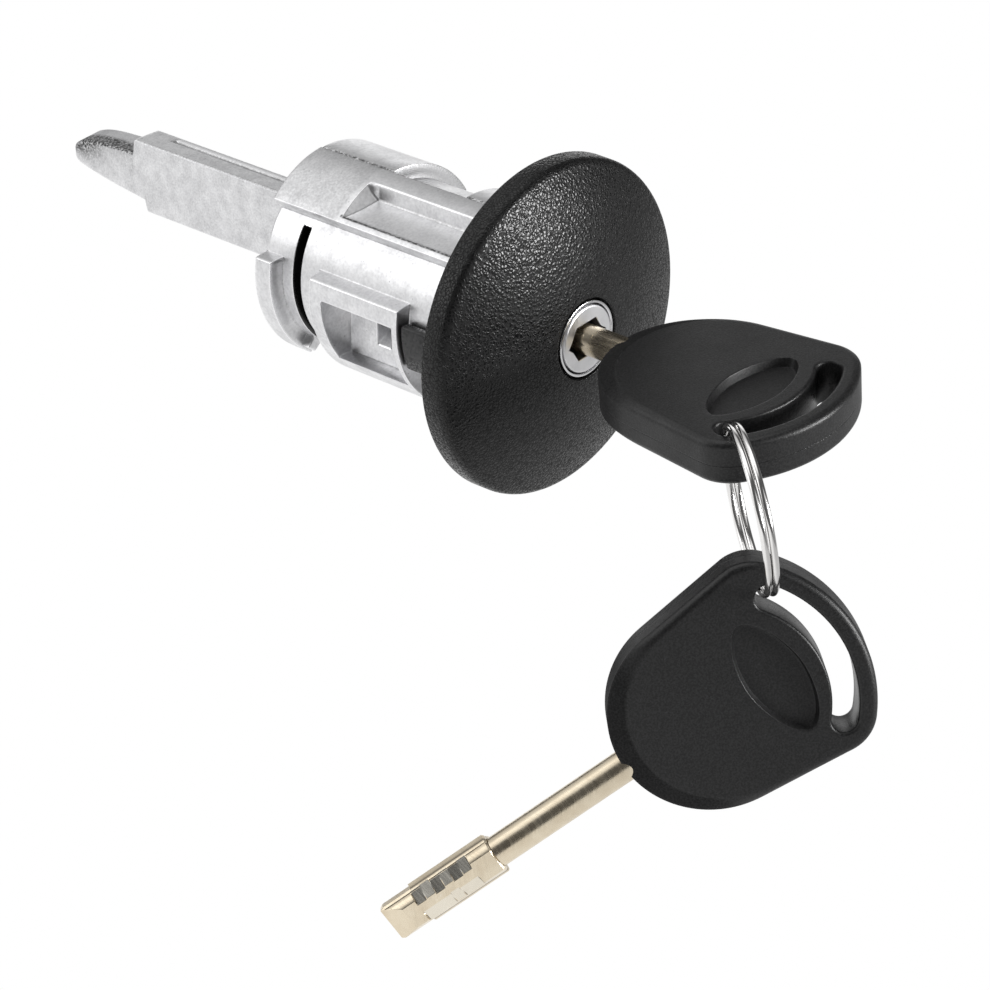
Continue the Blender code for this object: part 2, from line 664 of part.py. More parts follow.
def head_outline(inset, near_inset=None):
    """The key head's outline as (s, w), moved in by an inset, its blade side by another."""
    near_radius = HEAD_NEAR_RADIUS - (inset if near_inset is None else near_inset)
    small = HEAD_CORNER_RADIUS - inset
    spread = math.degrees(math.atan2(HEAD_CORNER_OFFSET, HEAD_CORNER_CENTRE - HEAD_FAR_CENTRE))
    reach = math.hypot(HEAD_CORNER_OFFSET, HEAD_CORNER_CENTRE - HEAD_FAR_CENTRE)
    run = math.hypot(HEAD_CORNER_CENTRE - HEAD_NEAR_CENTRE, HEAD_CORNER_OFFSET)
    lean = math.degrees(math.atan2(HEAD_CORNER_OFFSET, HEAD_CORNER_CENTRE - HEAD_NEAR_CENTRE))
    side = lean + math.degrees(math.acos((near_radius - small) / run))
    near = arc(near_radius, 360.0 - side, side, centre=(HEAD_NEAR_CENTRE, 0.0), count=17)
    upper = arc(small, side, spread, centre=(HEAD_CORNER_CENTRE, HEAD_CORNER_OFFSET), count=6)
    far = arc(reach + small, spread, -spread, centre=(HEAD_FAR_CENTRE, 0.0), count=10)
    lower = arc(small, -spread, -side, centre=(HEAD_CORNER_CENTRE, -HEAD_CORNER_OFFSET), count=6)
    return near[:-1] + upper[:-1] + far[:-1] + lower[:-1]


def ring_slot_outline(spread):
    """The curved ring slot, widened by a spread."""
    half = RING_SLOT_WIDTH / 2 + spread
    centre = (HEAD_FAR_CENTRE, 0.0)
    first, last = RING_SLOT_START_DEG, RING_SLOT_END_DEG
    ends = [(centre[0] + RING_SLOT_RADIUS * math.cos(math.radians(turn)),
             RING_SLOT_RADIUS * math.sin(math.radians(turn))) for turn in (first, last)]
    outer = arc(RING_SLOT_RADIUS + half, first, last, 9.0, centre)
    upper = arc(half, last, last + 180.0, 30.0, ends[1])
    inner = arc(RING_SLOT_RADIUS - half, last, first, 9.0, centre)
    lower = arc(half, first + 180.0, first + 360.0, 30.0, ends[0])
    return outer[:-1] + upper[:-1] + inner[:-1] + lower[:-1]


def lens_outline(inset):
    """The rounded lens of the recess in the head's face, moved in by an inset."""
    power = 2.0 / LENS_POWER
    points = []
    for step in range(LENS_STEPS):
        angle = math.tau * (step + 0.5) / LENS_STEPS
        across, along = math.cos(angle), math.sin(angle)
        points.append((LENS_CENTRE + (LENS_HALF_WIDTH - inset)
                       * math.copysign(abs(across) ** power, across),
                       LENS_OFFSET + (LENS_HALF_LENGTH - 1.4 * inset)
                       * math.copysign(abs(along) ** power, along)))
    return points


def level(outline, height):
    """Put an (s, w) outline at a height above the key's middle plane."""
    return [(s, w, height) for s, w in outline]


def build_shell(name, side, seam):
    """Half of a key head, above (side 1) or below (side -1) its seam."""
    top = HEAD_FRONT_REACH if side > 0 else HEAD_BACK_REACH
    base = side * seam
    rings = [level(head_outline(0.0), side * base)]
    for inset_share, height_share in ((0.0, 0.0), (0.24, 0.6), (1.0, 1.0)):
        outline = head_outline(HEAD_BEVEL * inset_share, HEAD_NEAR_BEVEL * height_share)
        rings.append(level(outline, side * (top - HEAD_BEVEL_DEPTH * (1.0 - height_share))))
    shell = object_from_rings(name, rings)
    past = top + BLIND
    cut(shell,
        object_from_rings("slot", [
            level(ring_slot_outline(0.0), side * (base - BLIND)),
            level(ring_slot_outline(0.0), side * (top - RING_SLOT_BEVEL)),
            level(ring_slot_outline(RING_SLOT_BEVEL), side * top),
            level(ring_slot_outline(RING_SLOT_BEVEL), side * past)]),
        object_from_rings("lens", [level(lens_outline(LENS_DRAFT), side * (top - LENS_DEPTH)),
                                   level(lens_outline(0.0), side * top),
                                   level(lens_outline(0.0), side * past)]))
    neck_end = HEAD_NEAR_CENTRE - HEAD_NEAR_RADIUS
    half_width = TANG_WIDTH / 2 + SEAT_GAP
    half_height = TANG_THICKNESS / 2 + SEAT_GAP
    corners = [(neck_end - BLIND, -half_width), (neck_end + TANG_LENGTH + SEAT_GAP, -half_width),
               (neck_end + TANG_LENGTH + SEAT_GAP, half_width), (neck_end - BLIND, half_width)]
    cut(shell, object_from_rings("pocket", [level(corners, side * (base - BLIND)),
                                            level(corners, side * half_height)]))
    return finished(shell, HEAD_BLACK)


def tip_wedge(side):
    """The form taken off one face of the bit to taper its tip."""
    slope = (BIT_CORE_HALF_HEIGHT - BIT_TIP_HALF_HEIGHT) / BIT_TIP_LENGTH
    reach = BIT_RIB_REACH + BLIND
    outline = [(-BLIND, BIT_TIP_HALF_HEIGHT - slope * BLIND),
               (BIT_TIP_LENGTH + BLIND, BIT_CORE_HALF_HEIGHT + slope * BLIND),
               (-BLIND, BIT_CORE_HALF_HEIGHT + BLIND)]
    return object_from_rings("wedge", [[(s, w, side * n) for s, n in outline] for w in (-reach, reach)])


def cut_runs(cuts):
    """Runs of equal key cuts, as (first place, last place, angle, distance)."""
    runs = []
    for index, (angle, distance) in enumerate(cuts):
        start = CUT_START + DISC_PITCH * index
        if runs and runs[-1][2:] == (angle, distance):
            start = runs.pop()[0]
        runs.append((start, CUT_START + DISC_PITCH * (index + 1), angle, distance))
    return runs


def build_blade(name):
    """The key's blade: tapered tip, cut bit, uncut land, round neck and flat tang."""
    steps = SMALL_TURN_STEPS // 2
    neck_end = HEAD_NEAR_CENTRE - HEAD_NEAR_RADIUS - SEAT_GAP
    section = bit_outline()
    blade = object_from_rings(name, [[(0.0, w, n) for w, n in section],
                                     [(BIT_LENGTH, w, n) for w, n in section]])
    far = BIT_RIB_REACH + BLIND
    cut(blade, tip_wedge(1), tip_wedge(-1))
    for side in (1, -1):
        cut(blade, object_from_rings("rib_end", [
            [(s, side * w, n) for s, w in ((-BLIND, BIT_TIP_HALF_WIDTH), (-BLIND, far),
                                           (RIB_START, far), (RIB_START, BIT_TIP_HALF_WIDTH))]
            for n in (-far, far)]))
    radius = NECK_DIAMETER / 2
    circle = [(radius * math.cos(math.tau * i / steps), radius * math.sin(math.tau * i / steps))
              for i in range(steps)]
    neck = object_from_rings("neck", [[(BIT_LENGTH - EMBED, w, n) for w, n in circle],
                                      [(neck_end, w, n) for w, n in circle]])
    half_width = TANG_WIDTH / 2
    half_height = TANG_THICKNESS / 2
    start = neck_end - EMBED
    end = neck_end + SEAT_GAP + TANG_LENGTH
    tang_half = min(half_width, radius - 0.1)
    plan = [(start, -tang_half), (neck_end + SEAT_GAP, -half_width), (end, -half_width),
            (end, half_width), (neck_end + SEAT_GAP, half_width), (start, tang_half)]
    tang = object_from_rings("tang", [level(plan, -half_height), level(plan, half_height)])
    for start_s, end_s, angle, distance in cut_runs(UPPER_CUTS) + cut_runs(LOWER_CUTS):
        for facing in (angle, angle + 180.0):
            turn = math.radians(facing)
            out = Vector((math.cos(turn), math.sin(turn)))
            side = Vector((-out.y, out.x)) * far
            near = out * distance
            quad = [near - side, out * far - side, out * far + side, near + side]
            cut(blade, object_from_rings("facet", [[(start_s, *point) for point in quad],
                                                   [(end_s, *point) for point in quad]]))
    join(blade, neck, tang)
    return finished(blade, NICKEL)


def build_key(prefix):
    """One key: blade and two head shells, in the key's own frame."""
    half_gap = SEAM_GAP / 2
    return [build_blade(f"{prefix}_blade"),
            build_shell(f"{prefix}_shell_front", 1, HEAD_SEAM + half_gap),
            build_shell(f"{prefix}_shell_back", -1, HEAD_SEAM - half_gap)]


def place_key(pieces, tip, along, across, pivot_s, pivot_w, pivot_name):
    """Put a key where its tip lies, under an empty on its joint axis."""
    normal = along.cross(across)
    frame = Matrix((along, across, normal)).transposed()
    pivot_at = tip + along * pivot_s + across * pivot_w
    pivot = bpy.data.objects.new(pivot_name, None)
    bpy.context.scene.collection.objects.link(pivot)
    pivot.matrix_world = Matrix.Translation(pivot_at * MM) @ frame.to_4x4()
    for piece in pieces:
        piece.data.transform(Matrix.Translation(Vector((-pivot_s, -pivot_w, 0.0)) * MM))
        piece.parent = pivot
    return pivot


def build_ring():
    """The split ring: one wire wound twice, its coils side by side."""
    axis = RING_NORMAL
    across = (RING_WIRE_ENDS - axis * RING_WIRE_ENDS.dot(axis)).normalized()
    up = axis.cross(across)
    total = 720.0 - 2.0 * RING_OPEN_DEG
    steps = round(RING_STEPS * total / 360.0)
    rings = []
    for step in range(steps + 1):
        turn = RING_OPEN_DEG + total * step / steps
        swap = min(1.0, max(0.0, (turn - 360.0 + RING_OPEN_DEG) / (2.0 * RING_OPEN_DEG)))
        lift = RING_COIL_PITCH * (swap * swap * (3.0 - 2.0 * swap) - 0.5)
        angle = math.radians(turn)
        out = across * math.cos(angle) + up * math.sin(angle)
        middle = RING_CENTRE - RING_HINGE + out * RING_RADIUS + axis * lift
        ring = []
        for side in range(WIRE_SIDES):
            around = math.tau * (side + 0.5) / WIRE_SIDES
            reach = RING_WIRE / 2 / math.cos(math.pi / WIRE_SIDES) * 0.96
            ring.append(middle + out * (reach * math.cos(around)) + axis * (reach * math.sin(around)))
        rings.append(ring)
    ring = object_from_rings("split_ring", rings)
    ring.location = RING_HINGE * MM
    return finished(ring, CHROME)


def main():
    """Build every piece of the lock set."""
    clear_scene()
    build_housing()
    build_dome()
    build_ferrule()
    build_face_disc()
    build_carrier()
    build_discs()
    build_sidebar()
    build_tail()
    build_clip()
    roll = math.radians(KEY_ROLL_DEG)
    along = Vector((0.0, -1.0, 0.0))
    across = Vector((math.cos(roll), 0.0, math.sin(roll)))
    place_key(build_key("key1"), Vector((0.0, KEY_INSERTION, 0.0)), along, across,
              0.0, 0.0, "key1_axis")
    side = (KEY2_ACROSS - KEY2_ALONG * KEY2_ACROSS.dot(KEY2_ALONG)).normalized()
    place_key(build_key("key2"), KEY2_TIP, KEY2_ALONG, side,
              KEY2_HINGE_S, KEY2_HINGE_W, "key2_axis")
    build_ring()


main()
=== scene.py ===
"""Dressed model of a car door lock set.

A die-cast barrel with its grained black dome, bright plug face and long flat
tailpiece, one key in the keyway and a second key hanging on a split ring.
Sizes in the classes below are millimetres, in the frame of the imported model:
+Y runs along the lock axis from the key side to the tail, +Z is up.
"""
import logging
import math
from dataclasses import dataclass
from enum import Enum
from typing import Sequence

import bmesh
import bpy
import numpy as np
from mathutils import Matrix, Vector


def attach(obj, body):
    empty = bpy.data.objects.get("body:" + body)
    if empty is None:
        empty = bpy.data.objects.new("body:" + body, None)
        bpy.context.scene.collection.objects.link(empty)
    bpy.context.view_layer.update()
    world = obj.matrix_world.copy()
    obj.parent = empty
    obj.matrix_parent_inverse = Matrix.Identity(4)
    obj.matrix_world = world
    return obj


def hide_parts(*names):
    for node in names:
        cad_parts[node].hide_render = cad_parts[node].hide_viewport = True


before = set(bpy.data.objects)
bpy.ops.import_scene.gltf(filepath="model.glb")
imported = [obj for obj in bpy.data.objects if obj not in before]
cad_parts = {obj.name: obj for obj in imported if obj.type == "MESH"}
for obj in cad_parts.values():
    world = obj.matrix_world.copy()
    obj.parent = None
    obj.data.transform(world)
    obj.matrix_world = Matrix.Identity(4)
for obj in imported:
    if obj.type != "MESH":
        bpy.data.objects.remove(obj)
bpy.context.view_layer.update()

Array = np.ndarray
Colour = tuple[float, float, float]
Place = tuple[float, float, float]
Palette = dict[str, bpy.types.Material]
MM = 0.001
LOG = logging.getLogger("lock_set")


# Shapes as functions on grids


def unit(vector: Sequence[float]) -> Array:
    """Return the vector scaled to length one."""
    given = np.asarray(vector, dtype=float)
    return given / np.linalg.norm(given)


def hinge(value: Array, soft: float) -> Array:
    """Zero below zero and the value itself above it, joined by a parabola.

    Args:
        value: Numbers of any shape.
        soft: Half the width of the joining parabola (v + s)^2 / 4s.

    Returns:
        The bent values.
    """
    bend = (value + soft) ** 2 / (4.0 * soft)
    return np.where(value <= -soft, 0.0, np.where(value >= soft, value, bend))


def ramp(value: Array, low: float, high: float, soft: float = 0.35) -> Array:
    """A slope from 0 at one value to 1 at another, with rounded ends.

    Args:
        value: Where to read the slope.
        low: Value at which the slope starts.
        high: Value at which it ends; it may be the lower of the two.
        soft: Rounding at each end, as a share of the slope's width.

    Returns:
        Heights from 0 to 1, as hinge(t) - hinge(t - 1) of the share t.
    """
    share = (value - low) / (high - low)
    return hinge(share, soft) - hinge(share - 1.0, soft)


def wall(value: Array, edge: float, width: float, side: int = 1) -> Array:
    """A steep step of a given width at an edge, up towards one side."""
    return ramp(value, edge - side * width / 2.0, edge + side * width / 2.0, 0.22)


def band(value: Array, low: float, high: float, width: float) -> Array:
    """One between two edges and zero outside, with steep walls."""
    return wall(value, low, width) * wall(value, high, width, -1)


def grid_lines(low: float, high: float, coarse: float, edges: Sequence[float],
               reach: float, count: int = 9) -> Array:
    """Places of grid lines: evenly spaced, and crowded at each edge.

    Args:
        low: First place.
        high: Last place.
        coarse: Spacing away from the edges.
        edges: Places where the surface steps.
        reach: Half the width crowded with lines round an edge.
        count: Number of lines round an edge.

    Returns:
        The sorted places, with no two closer than a sixth of the fine spacing.
    """
    base = np.linspace(low, high, max(2, int(round((high - low) / coarse)) + 1))
    shares = np.linspace(-1.0, 1.0, count)
    spread = np.sign(shares) * np.abs(shares) ** 1.3 * reach
    fine = (np.asarray(edges, dtype=float)[:, None] + spread[None, :]).ravel()
    places = np.unique(np.concatenate([base, fine[(fine > low) & (fine < high)]]))
    keep = np.concatenate([[True], np.diff(places) > reach / count / 6.0])
    keep[-1] = True
    return places[keep]


def arc_points(radius: float, start_deg: float, end_deg: float, count: int,
               centre: tuple[float, float] = (0.0, 0.0)) -> Array:
    """Points of an arc in a plane, as (count, 2)."""
    turn = np.radians(np.linspace(start_deg, end_deg, count))
    return np.stack([centre[0] + radius * np.cos(turn),
                     centre[1] + radius * np.sin(turn)], axis=1)


def turned(radius: Array, y: Array, turn: Array) -> Array:
    """Points at a radius, a length and an angle round the lock axis, (r cos t, y, r sin t)."""
    return np.stack(np.broadcast_arrays(radius * np.cos(turn), y, radius * np.sin(turn)), axis=-1)


def revolved(profile: Array, steps: int) -> Array:
    """Turn (radius, y) points round the lock axis.

    Args:
        profile: Points of the profile, as (rows, 2).
        steps: Number of columns in the full turn.

    Returns:
        Points (rows, steps, 3).
    """
    turn = np.linspace(0.0, math.tau, steps, endpoint=False)
    return turned(profile[:, :1], profile[:, 1:], turn)


def stacked(outlines: Sequence[Array], heights: Sequence[float]) -> Array:
    """Put plane outlines at heights, as rows of one grid."""
    return np.stack([np.column_stack([line, np.full(len(line), height)])
                     for line, height in zip(outlines, heights)])


@dataclass(frozen=True)
class Axes:
    """Right-handed axes at a place, which carry local points into the frame."""

    origin: Place = (0.0, 0.0, 0.0)
    first: Place = (1.0, 0.0, 0.0)
    second: Place = (0.0, 1.0, 0.0)

    def matrix(self) -> Array:
        """The three unit axes as rows: first, second squared to it, and their cross."""
        along = unit(self.first)
        given = np.asarray(self.second, dtype=float)
        across = unit(given - along * (given @ along))
        return np.stack([along, across, np.cross(along, across)])

    def place(self, points: Array) -> Array:
        """Carry points from these axes into the frame."""
        return np.asarray(self.origin) + points @ self.matrix()

    def local(self, points: Array) -> Array:
        """Carry points from the frame into these axes."""
        return (points - np.asarray(self.origin)) @ self.matrix().T


def read_all(items: bpy.types.bpy_prop_collection, name: str, width: int = 3,
             kind: type = np.float32) -> Array:
    """Read one property of every vertex, edge or face of a mesh, as (count, width)."""
    values = np.empty(len(items) * width, dtype=kind)
    items.foreach_get(name, values)
    return values.reshape(-1, width)


def places_mm(mesh: bpy.types.Mesh) -> Array:
    """Places of a mesh's vertices in millimetres, as (count, 3)."""
    return read_all(mesh.vertices, "co").astype(float) / MM


def keep_layer(mesh: bpy.types.Mesh, name: str, value: Array, domain: str = "POINT") -> None:
    """Store one number for each vertex or face, for a material to read."""
    layer = mesh.attributes.new(name, "FLOAT", domain)
    layer.data.foreach_set("value", value.astype(np.float32))


def put(name: str, data: bpy.types.ID) -> bpy.types.Object:
    """Make an object of a mesh, lamp or camera and put it into the scene."""
    made = bpy.data.objects.new(name, data)
    bpy.context.scene.collection.objects.link(made)
    return made


class PieceMesh:
    """Gathers grid surfaces in millimetres and makes one piece of them."""

    def __init__(self, name: str) -> None:
        """Start an empty piece with its name."""
        self.name = name
        self.points: list[Array] = []
        self.quads: list[Array] = []
        self.total = 0

    def add(self, points: Array, wrap_rows: bool = False, wrap_cols: bool = True) -> None:
        """Add a grid of points as quads.

        Args:
            points: The grid (rows, columns, 3).
            wrap_rows: Whether the last row joins the first.
            wrap_cols: Whether the last column joins the first.
        """
        rows, cols = points.shape[:2]
        index = np.arange(rows * cols).reshape(rows, cols) + self.total
        if wrap_rows:
            index = np.vstack([index, index[:1]])
        if wrap_cols:
            index = np.hstack([index, index[:, :1]])
        faces = np.stack([index[:-1, :-1], index[:-1, 1:], index[1:, 1:], index[1:, :-1]], axis=-1)
        self.points.append(points.reshape(-1, 3))
        self.quads.append(faces.reshape(-1, 4))
        self.total += rows * cols

    def add_capped(self, points: Array) -> None:
        """Add a grid of closed rows, with each end drawn in to a pole."""
        ends = [np.broadcast_to(points[row].mean(axis=0), points[row].shape)[None]
                for row in (0, -1)]
        self.add(np.concatenate([ends[0], points, ends[1]]))

    @staticmethod
    def mark_edges(mesh: bpy.types.Mesh) -> None:
        """Store how convex the surface is at each vertex, as the attribute "edge".

        The value is the mean fall of the neighbours below the vertex's own
        plane, over their distance: 0 where flat, near 1 on an outer edge and
        near -1 in an inner corner.
        """
        place = places_mm(mesh)
        normal = read_all(mesh.vertices, "normal")
        ends = read_all(mesh.edges, "vertices", 2, np.int32)
        total = np.zeros(len(place))
        seen = np.zeros(len(place))
        for first, second in ((0, 1), (1, 0)):
            here, there = ends[:, first], ends[:, second]
            step = place[there] - place[here]
            length = np.linalg.norm(step, axis=1)
            fall = -(step * normal[here]).sum(axis=1) / np.maximum(length, 1e-6)
            np.add.at(total, here, fall)
            np.add.at(seen, here, 1.0)
        full_edge = 0.16
        keep_layer(mesh, "edge", np.clip(total / np.maximum(seen, 1.0) / full_edge, -1.0, 1.0))

    def build(self, axes: Axes = Axes(), levels: Sequence[tuple[int, float]] = (),
              sharp_deg: float = 38.0, weld: float = 0.0015) -> bpy.types.Object:
        """Weld the surfaces, close flat faces, place them and shade them.

        Args:
            axes: Axes that the points are given in.
            levels: Pairs of local axis and height at which open edges are filled.
            sharp_deg: Angle above which an edge stays crisp.
            weld: Distance within which points are merged.

        Returns:
            The new object, at the origin, in metres.
        """
        points = np.concatenate(self.points)
        quads = np.concatenate(self.quads)
        mesh = bpy.data.meshes.new(self.name)
        mesh.vertices.add(len(points))
        mesh.vertices.foreach_set("co", points.astype(np.float32).ravel())
        mesh.loops.add(quads.size)
        mesh.loops.foreach_set("vertex_index", quads.ravel().astype(np.int32))
        mesh.polygons.add(len(quads))
        mesh.polygons.foreach_set("loop_start", np.arange(0, quads.size, 4, dtype=np.int32))
        mesh.update(calc_edges=True)
        work = bmesh.new()
        work.from_mesh(mesh)
        bmesh.ops.remove_doubles(work, verts=work.verts, dist=weld)
        bmesh.ops.dissolve_degenerate(work, edges=work.edges, dist=weld / 10.0)
        for axis, level in levels:
            rim = [edge for edge in work.edges if edge.is_boundary
                   and all(abs(corner.co[axis] - level) < 0.002 for corner in edge.verts)]
            bmesh.ops.triangle_fill(work, use_beauty=True, use_dissolve=False, edges=rim)
        bmesh.ops.recalc_face_normals(work, faces=work.faces)
        loose = sum(1 for edge in work.edges if not edge.is_manifold)
        work.to_mesh(mesh)
        work.free()
        placed = axes.place(read_all(mesh.vertices, "co").astype(float)) * MM
        mesh.vertices.foreach_set("co", placed.astype(np.float32).ravel())
        mesh.update()
        self.mark_edges(mesh)
        mesh.shade_smooth()
        mesh.set_sharp_from_angle(angle=math.radians(sharp_deg))
        LOG.info("%s: %d faces, %d open edges", self.name, len(mesh.polygons), loose)
        return put(self.name, mesh)


def dressed(piece: bpy.types.Object, material: bpy.types.Material, body: str, slot: str,
            *nodes: str) -> None:
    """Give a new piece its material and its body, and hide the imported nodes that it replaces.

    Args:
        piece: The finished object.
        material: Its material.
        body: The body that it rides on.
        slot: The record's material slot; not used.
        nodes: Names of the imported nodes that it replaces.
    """
    piece.data.materials.clear()
    piece.data.materials.append(material)
    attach(piece, body)
    if nodes:
        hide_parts(*nodes)


# Finishes


class Graph:
    """Adds and joins nodes in one tree."""

    def __init__(self, tree: bpy.types.NodeTree) -> None:
        """Keep the tree that nodes go into."""
        self.tree = tree

    def fill(self, node: bpy.types.Node, **values: object) -> None:
        """Set or link a node's inputs.

        Args:
            node: The node.
            values: A number, colour or socket for each input, by the input's
                number or by its name with "_" for a space.
        """
        for word, value in values.items():
            socket = node.inputs[int(word) if word.isdigit() else word.replace("_", " ")]
            if isinstance(value, bpy.types.NodeSocket):
                self.tree.links.new(value, socket)
            else:
                socket.default_value = value

    def node(self, kind: str, **values: object) -> bpy.types.Node:
        """Add a node.

        Args:
            kind: Blender's class of the node.
            values: Attributes by name, and inputs as in_NAME or in_NUMBER.

        Returns:
            The new node.
        """
        made = self.tree.nodes.new(kind)
        for key, value in values.items():
            if not key.startswith("in_"):
                setattr(made, key, value)
        self.fill(made, **{key[3:]: value for key, value in values.items() if key.startswith("in_")})
        return made

    def maths(self, operation: str, first: object, second: object = 0.0,
              clamp: bool = False) -> bpy.types.NodeSocket:
        """Join two values by an operation and return the result."""
        return self.node("ShaderNodeMath", operation=operation, use_clamp=clamp,
                         in_0=first, in_1=second).outputs[0]

    def spread(self, value: object, low: float, high: float, to_low: float = 0.0,
               to_high: float = 1.0, smooth: bool = False) -> bpy.types.NodeSocket:
        """Map a value from one range to another and return the result."""
        made = self.node("ShaderNodeMapRange", in_Value=value, in_From_Min=low,
                         in_From_Max=high, in_To_Min=to_low, in_To_Max=to_high)
        made.interpolation_type = "SMOOTHSTEP" if smooth else "LINEAR"
        return made.outputs["Result"]

    def blend(self, factor: object, first: object, second: object) -> bpy.types.NodeSocket:
        """Mix two colours, each a socket or three numbers, and return the result."""
        pair = [given if isinstance(given, bpy.types.NodeSocket) else (*given, 1.0)
                for given in (first, second)]
        return self.node("ShaderNodeMix", data_type="RGBA", in_0=factor, in_6=pair[0],
                         in_7=pair[1]).outputs[2]

    def noise(self, place: object, scale: object, detail: float = 3.0,
              roughness: float = 0.5) -> bpy.types.NodeSocket:
        """Add a noise texture and return its value."""
        return self.node("ShaderNodeTexNoise", in_Vector=place, in_Scale=scale,
                         in_Detail=detail, in_Roughness=roughness).outputs["Fac"]

    def scaled(self, place: object, scale: Place) -> bpy.types.NodeSocket:
        """Stretch a place by a scale on each axis and return it."""
        return self.node("ShaderNodeMapping", in_Vector=place, in_Scale=scale).outputs[0]

    def layer(self, name: str, low: float, high: float) -> bpy.types.NodeSocket:
        """Read one of the piece's own attributes as a share between two values."""
        given = self.node("ShaderNodeAttribute", attribute_name=name, attribute_type="GEOMETRY")
        return self.spread(given.outputs["Fac"], low, high)

    def use(self, tree: bpy.types.NodeTree, **values: object) -> bpy.types.Node:
        """Place a group with its own values, by the names of its inputs."""
        made = self.node("ShaderNodeGroup", node_tree=tree)
        self.fill(made, **values)
        return made

    def raise_surface(self, shader: bpy.types.Node, *layers: tuple[object, float]) -> None:
        """Chain bumps onto a shader's normal.

        Args:
            shader: The shader that the normal goes to.
            layers: Height socket and distance in metres of each bump.
        """
        normal: dict[str, bpy.types.NodeSocket] = {}
        for height, distance in layers:
            bump = self.node("ShaderNodeBump", in_Height=height, in_Distance=distance, in_Strength=1.0)
            self.fill(bump, **normal)
            normal = {"Normal": bump.outputs["Normal"]}
        self.fill(shader, **normal)

    def looked_at(self) -> tuple[bpy.types.Node, bpy.types.NodeSocket]:
        """Return the light path node, and one where the camera sees straight or through."""
        paths = self.node("ShaderNodeLightPath")
        return paths, self.maths("MAXIMUM", paths.outputs["Is Camera Ray"],
                                 paths.outputs["Is Transmission Ray"])


def new_group(name: str, outputs: Sequence[str],
              **inputs: float) -> tuple[Graph, bpy.types.Node, bpy.types.Node]:
    """Make a shader node group that takes a place and some numbers.

    Args:
        name: Name of the group.
        outputs: Names of the numbers it gives.
        inputs: Name and usual value of each number it takes.

    Returns:
        The group's graph, its input node and its output node.
    """
    tree = bpy.data.node_groups.new(name, "ShaderNodeTree")
    tree.interface.new_socket(name="Place", in_out="INPUT", socket_type="NodeSocketVector")
    for label, value in inputs.items():
        socket = tree.interface.new_socket(name=label, in_out="INPUT", socket_type="NodeSocketFloat")
        socket.default_value = value
    for label in outputs:
        tree.interface.new_socket(name=label, in_out="OUTPUT", socket_type="NodeSocketFloat")
    graph = Graph(tree)
    return graph, graph.node("NodeGroupInput"), graph.node("NodeGroupOutput")


